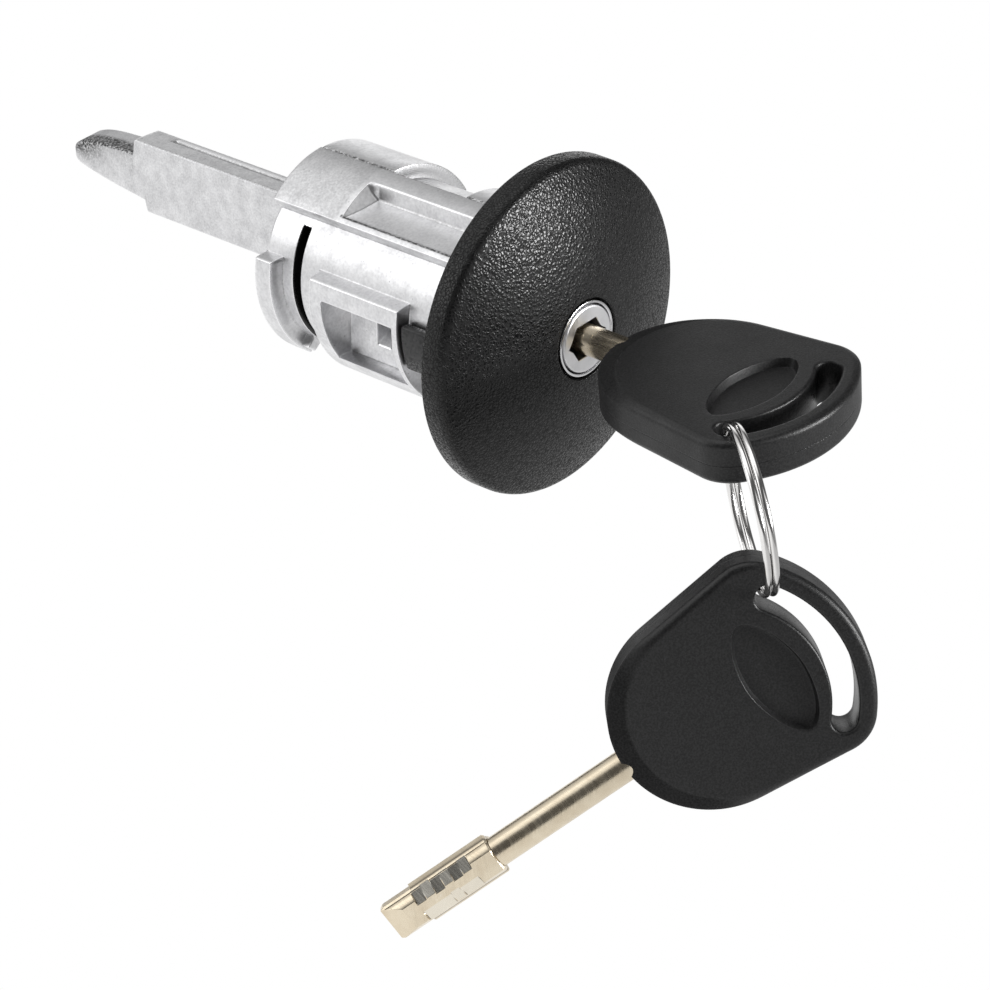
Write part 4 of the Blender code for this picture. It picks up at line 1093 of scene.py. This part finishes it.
@dataclass
class Tailpiece:
    """The flat cast bar with its rounded tip, and the hub behind the plug."""

    hub_radius: float = 9.7
    groove_radius: float = 8.1
    hub_start: float = 33.3
    hub_end: float = 42.8
    groove: tuple[float, float] = (35.4, 37.8)
    half: float = 2.78
    top: float = 7.0
    bottom: float = -5.1
    bar_start: float = 42.0
    top_step: float = 85.8
    bottom_step: float = 83.4
    tip_top: float = 4.7
    tip_bottom: float = -3.2
    nose: float = 101.95
    nose_round: float = 2.6
    tip_tilt: float = 0.32
    corner: float = 0.35
    line_x: tuple[float, float] = (0.6, 1.5)
    line_end: float = 80.0
    line_depth: float = 0.3
    line_dark: float = 0.3
    tip_shade: float = 0.8

    def tip_fall(self, y: Array) -> tuple[Array, Array]:
        """Share of the tip's length at each place, and how far its top has fallen there."""
        far = np.clip((y - self.top_step) / (self.nose - self.top_step), 0.0, 1.0)
        return far, 0.5 * far + 2.5 * far ** 5

    def bar(self) -> Array:
        """Sections of the bar: a rounded oblong whose sides follow its length.

        Returns:
            Grid (rows, columns, 3). The top falls by a step and then by a
            fifth-power curve to the nose, the bottom rises by a step and a
            line, and both close in as a quarter ellipse over the nose.
        """
        y = grid_lines(self.bar_start, self.nose - self.nose_round, 1.2,
                       [self.top_step, self.bottom_step, self.line_end], 0.35)
        cap = self.nose - self.nose_round * (1.0 - np.sin(np.linspace(0.0, math.pi / 2, 14)[1:]))
        y = np.concatenate([y, cap])
        _, fall = self.tip_fall(y)
        low = np.clip((y - self.bottom_step) / (self.nose - self.bottom_step), 0.0, 1.0)
        top = self.top - (self.top - self.tip_top) * wall(y, self.top_step, 0.45) - fall
        bottom = (self.bottom + (self.tip_bottom - self.bottom) * wall(y, self.bottom_step, 0.45)
                  + 2.0 * low + 1.0 * low ** 4)
        inside = np.clip((y - self.nose + self.nose_round) / self.nose_round, 0.0, 1.0)
        close = np.sqrt(np.maximum(1.0 - inside ** 2, 0.0))
        half = self.half * close
        middle = (top + bottom) / 2.0
        reach = (top - bottom) / 2.0 * close ** 0.75
        round_off = self.corner + 0.3 * ramp(y, self.top_step + 1.0, self.nose - 3.0) * close
        round_off = np.minimum(round_off, np.minimum(half, reach) * 0.98)
        turns = [np.radians(np.linspace(start, start + 90.0, 7)) for start in (0.0, 90.0, 180.0, 270.0)]
        across = grid_lines(-0.98, 0.98, 0.4, [x / self.half for x in self.line_x], 0.07, 7)[::-1]
        columns = []
        for index, (x_side, z_side) in enumerate(((1, 1), (-1, 1), (-1, -1), (1, -1))):
            for turn in turns[index]:
                columns.append(np.stack([x_side * (half - round_off) + round_off * math.cos(turn), y,
                                         middle + z_side * (reach - round_off)
                                         + round_off * math.sin(turn)], axis=1))
            if index == 0:
                for share in across:
                    x = share * (half - round_off)
                    dip = (self.line_depth * band(x, *self.line_x, 0.25)
                           * wall(y, self.line_end, 0.5, -1))
                    columns.append(np.stack([x, y, middle + reach - dip], axis=1))
        points = np.stack(columns, axis=1)
        upper = np.clip((points[..., 2] - middle[:, None]) / np.maximum(reach, 0.1)[:, None], 0.0, 1.0)
        tilt = self.tip_tilt * wall(y, self.top_step, 0.45)[:, None] * points[..., 0] / self.half
        points[..., 2] += tilt * upper
        return points

    def build(self, palette: Palette) -> None:
        """Make hub and bar as one piece and dress it."""
        edge = 0.25
        profile = np.array([
            [0.0, self.hub_start], [self.hub_radius - edge, self.hub_start],
            [self.hub_radius, self.hub_start + edge], [self.hub_radius, self.groove[0]],
            [self.groove_radius, self.groove[0]], [self.groove_radius, self.groove[1]],
            [self.hub_radius, self.groove[1]], [self.hub_radius, self.hub_end - edge],
            [self.hub_radius - edge, self.hub_end], [self.hub_radius - edge - 0.2, self.hub_end],
            [0.0, self.hub_end]])
        mesh = PieceMesh("tail_bar")
        mesh.add(revolved(profile, 120))
        mesh.add_capped(self.bar())
        piece = mesh.build(sharp_deg=40.0)
        # Darker marks: a line along the near top corner and in the two top grooves, and painted shade
        # over the upper part of the tip's near side, where its top curves away.
        x, y, z = places_mm(piece.data).T
        left = self.half - self.corner
        line = ((x < -left) & (x > -self.half + 0.03) & (z > self.top - self.corner)
                & (y < self.top_step))
        far, fall = self.tip_fall(y)
        tip = (np.clip((0.2 - x) / 0.8, 0.0, 1.0) * (y > self.top_step + 0.25)
               * np.clip((z - self.tip_top + fall + 0.75 + 1.5 * far ** 3) / 0.35, 0.0, 1.0))
        near, far_side = self.line_x
        groove = ((x > near - 0.15) & (x < far_side + 0.15) & (z > self.top - self.line_depth - 0.1)
                  & (y < self.line_end + 0.4))
        keep_layer(piece.data, "soil_and_shade", np.clip(
            self.line_dark * line + self.tip_shade * tip + self.line_dark * groove, 0.0, 1.0))
        dressed(piece, palette["tail"], "plug", Slot.ZINC.value, "tailpiece")


@dataclass
class KeyForm:
    """Sizes and surfaces of a key: S from its tip, W across, N out of its face."""

    core_near: float = 1.75
    core_far: float = 2.0
    core_height: float = 2.15
    rib_reach: float = 3.4
    rib_foot: tuple[float, float] = (2.95, 0.5)
    rib_shoulder: tuple[float, float] = (2.82, 0.5)
    round_land: float = 2.62
    tip_length: float = 3.0
    tip_half: float = 0.6
    tip_width: float = 2.8
    rib_start: float = 5.3
    cut_start: float = 5.2
    cut_pitch: float = 1.575
    cut_wall: float = 0.16
    end_bevel: float = 0.25
    upper_cuts: tuple[tuple[float, float], ...] = (
        (55.0, 2.18), (52.0, 2.22), (58.0, 2.14), (53.0, 2.24), (57.0, 2.16), (54.0, 2.2))
    lower_cuts: tuple[tuple[float, float], ...] = (
        (112.0, 2.2), (112.0, 2.2), (112.0, 2.2), (107.0, 2.17), (113.0, 2.22), (113.0, 2.22))
    bit_end: float = 18.3
    neck_radius: float = 2.3
    neck_end: float = 42.5
    near_centre: float = 55.0
    near_radius: float = 14.6
    corner_centre: float = 68.3
    corner_offset: float = 9.9
    corner_radius: float = 6.2
    far_centre: float = 56.4
    front_reach: float = 3.0
    back_reach: float = 3.8
    bevel: float = 1.15
    near_bevel: float = 3.1
    bevel_depth: float = 1.05
    seam: float = -0.7
    seam_gap: float = 0.02
    seam_round: float = 0.04
    slot_radius: float = 17.2
    slot_half: float = 1.85
    slot_deg: tuple[float, float] = (-42.0, 33.5)
    slot_round: float = 0.5
    lens_centre: tuple[float, float] = (65.0, -0.6)
    lens_half: tuple[float, float] = (9.3, 4.3)
    lens_power: float = 1.75
    lens_depth: float = 1.3

    def head_line(self, inset: float, near_extra: float = 0.0) -> Array:
        """The head's outline: four arcs and the lines that touch them.

        Args:
            inset: How far every arc is drawn in.
            near_extra: How far the arc next to the blade slides away from it.

        Returns:
            Points (170, 2) in S and W.
        """
        near = self.near_radius - inset
        near_centre = self.near_centre + near_extra
        small = self.corner_radius - inset
        step = np.array([self.corner_centre - near_centre, self.corner_offset])
        lean = math.degrees(math.atan2(step[1], step[0]))
        side = lean + math.degrees(math.acos((near - small) / np.hypot(*step)))
        reach = math.hypot(self.corner_offset, self.corner_centre - self.far_centre)
        spread = math.degrees(math.atan2(self.corner_offset, self.corner_centre - self.far_centre))
        return np.concatenate([
            arc_points(near, 360.0 - side, side, 64, (near_centre, 0.0)),
            arc_points(small, side, spread, 30, (self.corner_centre, self.corner_offset)),
            arc_points(reach + small, spread, -spread, 46, (self.far_centre, 0.0)),
            arc_points(small, -spread, -side, 30, (self.corner_centre, -self.corner_offset))])

    def slot_line(self, spread: float) -> Array:
        """The curved ring slot's outline, widened by a spread."""
        half = self.slot_half + spread
        first, last = self.slot_deg
        centre = (self.far_centre, 0.0)
        ends = arc_points(self.slot_radius, first, last, 2, centre)
        return np.concatenate([
            arc_points(self.slot_radius + half, first, last, 40, centre)[:-1],
            arc_points(half, last, last + 180.0, 20, tuple(ends[1]))[:-1],
            arc_points(self.slot_radius - half, last, first, 40, centre)[:-1],
            arc_points(half, first + 180.0, first + 360.0, 20, tuple(ends[0]))[:-1]])

    def lens_line(self, inset: float) -> Array:
        """The recess's outline, drawn in by an inset.

        The form is a lens with rounded tips: each of |s / b| and |w / a| to the
        lens power, added, is one. A power of 2 would be an ellipse.
        """
        turn = np.linspace(0.0, math.tau, 96, endpoint=False)
        s, w = self.lens_centre
        power = 2.0 / self.lens_power
        bent = [np.sign(v) * np.abs(v) ** power for v in (np.cos(turn), np.sin(turn))]
        return np.stack([s + (self.lens_half[1] - inset) * bent[0],
                         w + (self.lens_half[0] - 1.4 * inset) * bent[1]], axis=1)

    def shell(self, name: str, side: int) -> tuple[PieceMesh, list[tuple[int, float]]]:
        """Surfaces of one half of the head, above or below the seam.

        Args:
            name: Name of the piece.
            side: 1 for the half towards +N, -1 for the other.

        Returns:
            The gathered surfaces, and axis and height of the levels they are open at.
        """
        top = self.front_reach if side > 0 else self.back_reach
        base = side * self.seam + self.seam_gap / 2.0
        depth = self.bevel_depth
        turn = np.radians([0.0, 10.0, 22.0, 36.0, 50.0, 64.0, 78.0, 90.0])
        share = 1.0 - np.cos(turn)
        rise = np.sin(turn)
        insets = [self.seam_round, self.seam_round * 0.3, 0.0, 0.0, 0.0, *(self.bevel * share),
                  self.bevel + 0.2]
        nears = [*insets[:5], *(self.near_bevel * (0.9 * rise + 0.1 * share)), self.near_bevel + 0.2]
        heights = [base, base + 0.3 * self.seam_round, base + self.seam_round,
                   base + self.seam_round + 0.12, top - depth - 0.25,
                   *(top - depth + depth * rise), top]
        mesh = PieceMesh(name)

        def rings(lines: Sequence[Array], levels: Sequence[float]) -> None:
            """Add rings with their heights turned to the half's own side."""
            mesh.add(stacked(lines, [side * level for level in levels]))

        rings([self.head_line(inset, near - inset) for inset, near in zip(insets, nears)], heights)
        lip = np.linspace(0.0, math.pi / 2, 7)
        spreads = [0.0, *(self.slot_round * (1.0 - np.cos(lip))), self.slot_round + 0.15]
        levels = [base, *(top - self.slot_round + self.slot_round * np.sin(lip)), top]
        rings([self.slot_line(spread) for spread in spreads], levels)
        floor = top - self.lens_depth
        lens_in = [-0.3, -0.14, -0.05, 0.0, 0.03, 0.3, 0.35, 0.47, 0.75]
        lens_level = [top, top, top - 0.02, top - 0.07, top - 0.17, floor + 0.14, floor + 0.03,
                      floor, floor]
        rings([self.lens_line(inset) for inset in lens_in], lens_level)
        return mesh, [(2, side * level) for level in (base, top, floor)]

    def cut_end(self) -> float:
        """Distance from the tip at which the cuts end."""
        return self.cut_start + self.cut_pitch * len(self.upper_cuts)

    def blade(self, name: str) -> PieceMesh:
        """Surfaces of the blade: a radius over angle and length.

        Args:
            name: Name of the piece.

        Returns:
            The gathered surface. The bit's section is a ten-sided figure that
            a ray from the middle meets once; each cut lowers it to a plane at
            a distance d and angle a, by r = d / cos(t - a).
        """
        half = np.array([(-self.core_near, -self.core_height), (self.core_far, -self.core_height),
                         (self.rib_foot[0], -self.rib_foot[1]), (self.rib_reach, 0.0),
                         self.rib_shoulder])
        corners = np.concatenate([half, -half])
        corner_deg = np.degrees(np.arctan2(corners[:, 1], corners[:, 0])) % 360.0
        order = np.argsort(corner_deg)
        corners = corners[order]
        corner_deg = corner_deg[order]
        degrees = grid_lines(0.0, 360.0, 1.5, corner_deg, 0.4, 3)[:-1]
        first = np.searchsorted(corner_deg, degrees, side="right") - 1
        here = corners[first]
        after = corners[(first + 1) % len(corners)]
        turn = np.radians(degrees)
        ray = np.stack([np.cos(turn), np.sin(turn)], axis=1)
        along = after - here
        full = ((here[:, 0] * after[:, 1] - here[:, 1] * after[:, 0])
                / (ray[:, 0] * along[:, 1] - ray[:, 1] * along[:, 0]))
        land = np.cos(turn - math.atan2(self.core_height, self.core_near)) ** 2 > 0.75
        full = np.where(land, np.minimum(full, self.round_land), full)

        steps = self.cut_start + self.cut_pitch * np.arange(len(self.upper_cuts) + 1)
        places = np.unique(np.concatenate([
            [0.0, 0.12, 0.5, self.tip_length, self.bit_end - self.end_bevel, self.bit_end],
            np.linspace(0.5, self.tip_length, 17), [self.rib_start - 0.05, self.rib_start + 0.05],
            (steps[:, None] + self.cut_wall * np.array([-1.0, -0.5, 0.5, 1.0])).ravel()]))
        s = places[:, None]
        radius = np.broadcast_to(full, (len(places), len(full))).copy()
        index = np.clip(((s - self.cut_start) / self.cut_pitch).astype(int), 0, len(steps) - 2)
        inside = (s > self.cut_start) & (s < self.cut_end())
        for table in (self.upper_cuts, self.lower_cuts):
            values = np.array(table)
            angle = np.radians(values[index[:, 0], 0])[:, None]
            depth = values[index[:, 0], 1][:, None]
            for opposite in (0.0, math.pi):
                toward = np.cos(turn[None, :] - angle - opposite)
                plane = np.where(toward > 0.2, depth / np.maximum(toward, 0.2), 99.0)
                radius = np.where(inside, np.minimum(radius, plane), radius)
        w = radius * ray[:, 0]
        n = radius * ray[:, 1]
        limit = self.tip_half + (self.core_height - self.tip_half) * np.clip(s / self.tip_length, 0, 1)
        n = np.clip(n, -limit, limit)
        narrow = np.where(s < self.rib_start, self.tip_width - 0.25 * np.clip(1 - s / 0.5, 0, 1), 99.0)
        w = np.clip(w, -narrow, narrow)
        trim = 1.0 - 0.08 * np.clip((s - self.bit_end) / self.end_bevel + 1.0, 0.0, 1.0)
        bit = np.stack([np.broadcast_to(s, w.shape), w * trim, n * trim], axis=-1)
        neck_s = np.array([self.bit_end, self.bit_end + 0.08, self.bit_end + 0.25, self.bit_end + 0.5,
                           self.neck_end])
        neck_r = self.neck_radius + np.array([-0.1, 0.0, 0.0, 0.0, 0.0])
        neck = np.stack([np.broadcast_to(neck_s[:, None], (5, len(turn))),
                         neck_r[:, None] * np.cos(turn), neck_r[:, None] * np.sin(turn)], axis=-1)
        mesh = PieceMesh(name)
        mesh.add_capped(np.concatenate([bit, neck]))
        return mesh


@dataclass
class Key:
    """One key at its place: blade and the two halves of its head."""

    body: str
    axes: Axes
    form: KeyForm
    rib_shade_deg: float = 3.4
    lower_fresh: float = 0.6
    plane_deg: float = 2.5

    def facet(self, mesh: bpy.types.Mesh) -> None:
        """Shade the bit flat, since it is cut in planes, and mark its cuts and the lines of painted
        shade at the rib's feet.
        """
        form = self.form
        s = self.axes.local(read_all(mesh.polygons, "center") / MM)[:, 0]
        mesh.polygons.foreach_set("use_smooth", s > form.bit_end)
        across = read_all(mesh.polygons, "normal") @ self.axes.matrix().T
        lean = np.degrees(np.arctan2(across[:, 2], across[:, 1])) % 180.0
        inside = (np.abs(across[:, 0]) < 0.3) & (s > form.cut_start) & (s < form.cut_end())
        cut = np.zeros(len(s))
        for table, share in ((form.upper_cuts, 1.0), (form.lower_cuts, self.lower_fresh)):
            for angle, _ in table:
                cut[inside & (np.abs(lean - angle) < self.plane_deg)] = share
        keep_layer(mesh, "cut", cut, "FACE")
        # Painted shade: dark lines along the feet of the rib.
        s, w, n = self.axes.local(places_mm(mesh)).T
        turn = np.degrees(np.arctan2(n, w)) % 180.0
        feet = [math.degrees(math.atan2(side, reach)) % 180.0 for reach, side in
                ((form.rib_foot[0], -form.rib_foot[1]), form.rib_shoulder)]
        line = sum(np.exp(-((turn - foot) / self.rib_shade_deg) ** 2) for foot in feet)
        keep_layer(mesh, "corner_shade", line * (s > form.rib_start) * (s < form.bit_end))

    def dull_bevel(self, mesh: bpy.types.Mesh) -> None:
        """Mark the bevel next to the blade, which is duller than the rest."""
        form = self.form
        s, w, _ = self.axes.local(places_mm(mesh)).T
        slid = form.near_centre + form.near_bevel - form.bevel
        reach = np.hypot(s - slid, w) - (form.near_radius - form.bevel)
        keep_layer(mesh, "dull", np.clip((reach + 0.1) / 0.5, 0.0, 1.0)
                   * np.clip((form.near_centre - 2.0 - s) / 5.0, 0.0, 1.0))

    def build(self, palette: Palette) -> None:
        """Make the three pieces and dress them."""
        name = self.body
        blade = self.form.blade(f"{name}_bit").build(self.axes, sharp_deg=24.0)
        self.facet(blade.data)
        dressed(blade, palette["nickel"], name, Slot.NICKEL.value, f"{name}_blade")
        for word, side in (("front", 1), ("back", -1)):
            shell, levels = self.form.shell(f"{name}_head_{word}", side)
            piece = shell.build(self.axes, levels=levels, sharp_deg=42.0)
            self.dull_bevel(piece.data)
            dressed(piece, palette["moulded"], name, Slot.HEAD.value, f"{name}_shell_{word}")


@dataclass
class SplitRing:
    """Spring wire wound twice side by side, as a round section on a path."""

    centre: Place = (-17.21, -53.14, -5.85)
    normal: Place = (0.7690, -0.6178, 0.1643)
    start: Place = (0.46, 0.71, 0.52)
    radius: float = 11.68
    wire: float = 0.5
    pitch: float = 1.1
    open_deg: float = 8.0
    sides: int = 24
    steps: int = 460

    def path(self) -> Array:
        """Rings of the wire: a circle whose lift goes from one coil to the next."""
        axis = unit(self.normal)
        _, across, up = Axes(first=self.normal, second=self.start).matrix()
        total = 720.0 - 2.0 * self.open_deg
        turn = self.open_deg + total * np.linspace(0.0, 1.0, self.steps)
        share = np.clip((turn - 360.0 + self.open_deg) / (2.0 * self.open_deg), 0.0, 1.0)
        lift = self.pitch * (share ** 2 * (3.0 - 2.0 * share) - 0.5)
        angle = np.radians(turn)[:, None]
        out = across * np.cos(angle) + up * np.sin(angle)
        middle = np.asarray(self.centre) + out * self.radius + axis * lift[:, None]
        around = np.linspace(0.0, math.tau, self.sides, endpoint=False)
        end = np.minimum(np.arange(self.steps), np.arange(self.steps)[::-1])
        thick = self.wire * np.where(end == 0, 0.8, 1.0)[:, None, None]
        section = (out[:, None, :] * np.cos(around)[None, :, None]
                   + axis * np.sin(around)[None, :, None])
        return middle[:, None, :] + section * thick

    def build(self, palette: Palette) -> None:
        """Make the ring and dress it."""
        mesh = PieceMesh("ring_wire")
        mesh.add_capped(self.path())
        dressed(mesh.build(), palette["chrome"], "ring", Slot.RING.value, "split_ring")


class InnerWorks:
    """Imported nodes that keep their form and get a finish: the parts inside."""

    FINISHES = {
        "plug_carrier": "zinc", "sidebar": "ferrule", "retaining_clip": "spring",
        "disc_": "brass", "spacer_": "ferrule",
    }

    def build(self, palette: Palette) -> None:
        """Assign a material to each carried-over node."""
        for name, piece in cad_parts.items():
            for start, finish in self.FINISHES.items():
                if name.startswith(start):
                    piece.data.materials.clear()
                    piece.data.materials.append(palette[finish])
                    LOG.info("%s: %s", name, finish)


@dataclass
class Studio:
    """White floor and surroundings, soft lamps and the camera."""

    floor_height: float = -0.082
    floor_reach: float = 2.0
    eye: Place = (-0.3343, -0.2934, 0.2047)
    right: Place = (0.6711, -0.7414, 0.0)
    up: Place = (0.3449, 0.3122, 0.8853)
    lens: float = 120.04
    floor_tones: tuple[float, float] = (0.60, 1.02)
    floor_fade: tuple[float, float] = (0.10, -0.02)
    floor_far: tuple[float, float] = (0.20, 0.34)
    room_tone: float = 0.10
    lamps: tuple[tuple[str, Place, Place, tuple[float, float], float], ...] = (
        ("left_soft", (-0.68, 0.60, 0.34), (-0.01, 0.0, -0.01), (0.5, 0.4), 0.45),
        ("front_soft", (0.40, -0.78, 0.16), (-0.01, 0.0, -0.01), (0.28, 0.24), 6.5),
        ("back_card", (0.26, 0.27, 0.13), (0.0, 0.06, 0.01), (0.26, 0.20), 0.05),
        ("top_soft", (-0.20, 0.50, 0.75), (-0.01, 0.0, -0.01), (0.6, 0.6), 0.5))
    glows: tuple[tuple[float, float, float, float, float, float], ...] = (
        (-0.70, 0.62, 0.35, 0.86, 0.97, 0.86), (-0.20, 0.60, 0.77, 0.66, 0.88, 0.60),
        (0.45, -0.87, 0.17, 0.93, 0.99, 0.80), (0.0, -0.88, 0.47, 0.90, 0.98, 0.80),
        (0.06, 0.05, 1.00, 0.88, 0.97, 1.00), (0.80, 0.60, 0.06, 0.91, 0.985, 0.80))

    def camera(self) -> None:
        """Place the camera at the photograph's angle."""
        data = bpy.data.cameras.new("camera")
        data.lens = self.lens
        data.sensor_width = 36.0
        data.clip_start = 0.01
        holder = put("camera", data)
        right = Vector(self.right)
        up = Vector(self.up)
        turn = Matrix((right, up, right.cross(up))).transposed()
        holder.matrix_world = Matrix.Translation(self.eye) @ turn.to_4x4()
        bpy.context.scene.camera = holder

    def floor(self) -> None:
        """A white floor that the camera sees as plain white."""
        corners = [(x * self.floor_reach, y * self.floor_reach, self.floor_height)
                   for x, y in ((-1, -1), (1, -1), (1, 1), (-1, 1))]
        mesh = bpy.data.meshes.new("floor")
        mesh.from_pydata(corners, [], [(0, 1, 2, 3)])
        plane = put("floor", mesh)
        material, graph, shader = plain_material("floor_white")
        graph.fill(shader, Base_Color=(0.85, 0.85, 0.85, 1.0), Roughness=0.9)
        paths, seen = graph.looked_at()
        split = graph.node("ShaderNodeSeparateXYZ",
                           in_Vector=graph.node("ShaderNodeTexCoord").outputs["Object"])
        slant = graph.maths("SUBTRACT", graph.maths("MULTIPLY", split.outputs["X"], 0.6),
                            graph.maths("MULTIPLY", split.outputs["Y"], 0.8))
        near = graph.spread(slant, *self.floor_fade, *self.floor_tones, smooth=True)
        far = graph.spread(slant, *self.floor_far, 0.0, 0.34, smooth=True)
        level = graph.maths("SUBTRACT", near, far)
        tone = graph.node("ShaderNodeMix", data_type="FLOAT", in_0=seen, in_2=level, in_3=1.0)
        glow = graph.node("ShaderNodeEmission", in_Color=(1.0, 1.0, 1.0, 1.0),
                          in_Strength=tone.outputs[0])
        share = graph.maths("MAXIMUM", seen, paths.outputs["Is Glossy Ray"])
        mix = graph.node("ShaderNodeMixShader", in_0=share, in_1=shader.outputs[0],
                         in_2=glow.outputs[0])
        graph.fill(material.node_tree.nodes["Material Output"], Surface=mix.outputs[0])
        plane.data.materials.append(material)

    def world(self) -> None:
        """Surroundings: white to the camera, a soft grey room to the lamps' side."""
        world = bpy.data.worlds.new("room")
        world.use_nodes = True
        bpy.context.scene.world = world
        graph = Graph(world.node_tree)
        back = world.node_tree.nodes["Background"]
        place = graph.node("ShaderNodeTexCoord").outputs["Generated"]
        room: bpy.types.NodeSocket | float = self.room_tone
        for glow in self.glows:
            toward = graph.node("ShaderNodeVectorMath", operation="DOT_PRODUCT", in_0=place,
                                in_1=tuple(unit(glow[:3])))
            low, high, power = glow[3:]
            part = graph.spread(toward.outputs["Value"], low, high, 0.0, power, smooth=True)
            room = graph.maths("ADD", room, part)
        _, seen = graph.looked_at()
        tone = graph.node("ShaderNodeMix", data_type="FLOAT", in_0=seen, in_2=room, in_3=1.0)
        graph.fill(back, Color=(1.0, 1.0, 1.0, 1.0), Strength=tone.outputs[0])

    @staticmethod
    def lamp(name: str, place: Place, target: Place, size: tuple[float, float], power: float) -> None:
        """Add one soft rectangular lamp.

        Args:
            name: Name of the lamp.
            place: Where it stands, in metres.
            target: What it faces.
            size: Its width and height.
            power: Its power in watts.
        """
        data = bpy.data.lights.new(name, "AREA")
        data.shape = "RECTANGLE"
        data.size, data.size_y = size
        data.energy = power
        look = (Vector(target) - Vector(place)).to_track_quat("-Z", "Y")
        put(name, data).matrix_world = Matrix.Translation(place) @ look.to_matrix().to_4x4()

    def build(self) -> None:
        """Make camera, floor, surroundings and lamps."""
        self.camera()
        self.floor()
        self.world()
        for row in self.lamps:
            self.lamp(*row)


def save_sizes() -> None:
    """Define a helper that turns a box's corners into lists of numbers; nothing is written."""
    def plain(box: object) -> list[list[float]]:
        """Turn a box's corners into plain lists of numbers."""
        return [[float(value) for value in corner] for corner in box]


def main() -> None:
    """Build the set, sub-assembly by sub-assembly."""
    logging.basicConfig(level=logging.INFO, format="%(message)s")
    settings = bpy.context.scene.view_settings
    settings.view_transform = "Standard"
    palette = every_finish()
    form = KeyForm()
    roll = math.radians(PlugFace.roll_deg)
    seated = Axes((0.0, 24.6, 0.0), (0.0, -1.0, 0.0), (math.cos(roll), 0.0, math.sin(roll)))
    hanging = Axes((-59.26, -24.71, -65.38), (0.63320, -0.51977, 0.57350), (-0.30300, 0.51536, 0.80163))
    parts = (DomeCover(), BarrelHousing(), PlugFace(), Tailpiece(), Key("key1", seated, form),
             Key("key2", hanging, form), SplitRing(), InnerWorks())
    for part in parts:
        part.build(palette)
    Studio().build()
    save_sizes()


if __name__ == "__main__":
    main()
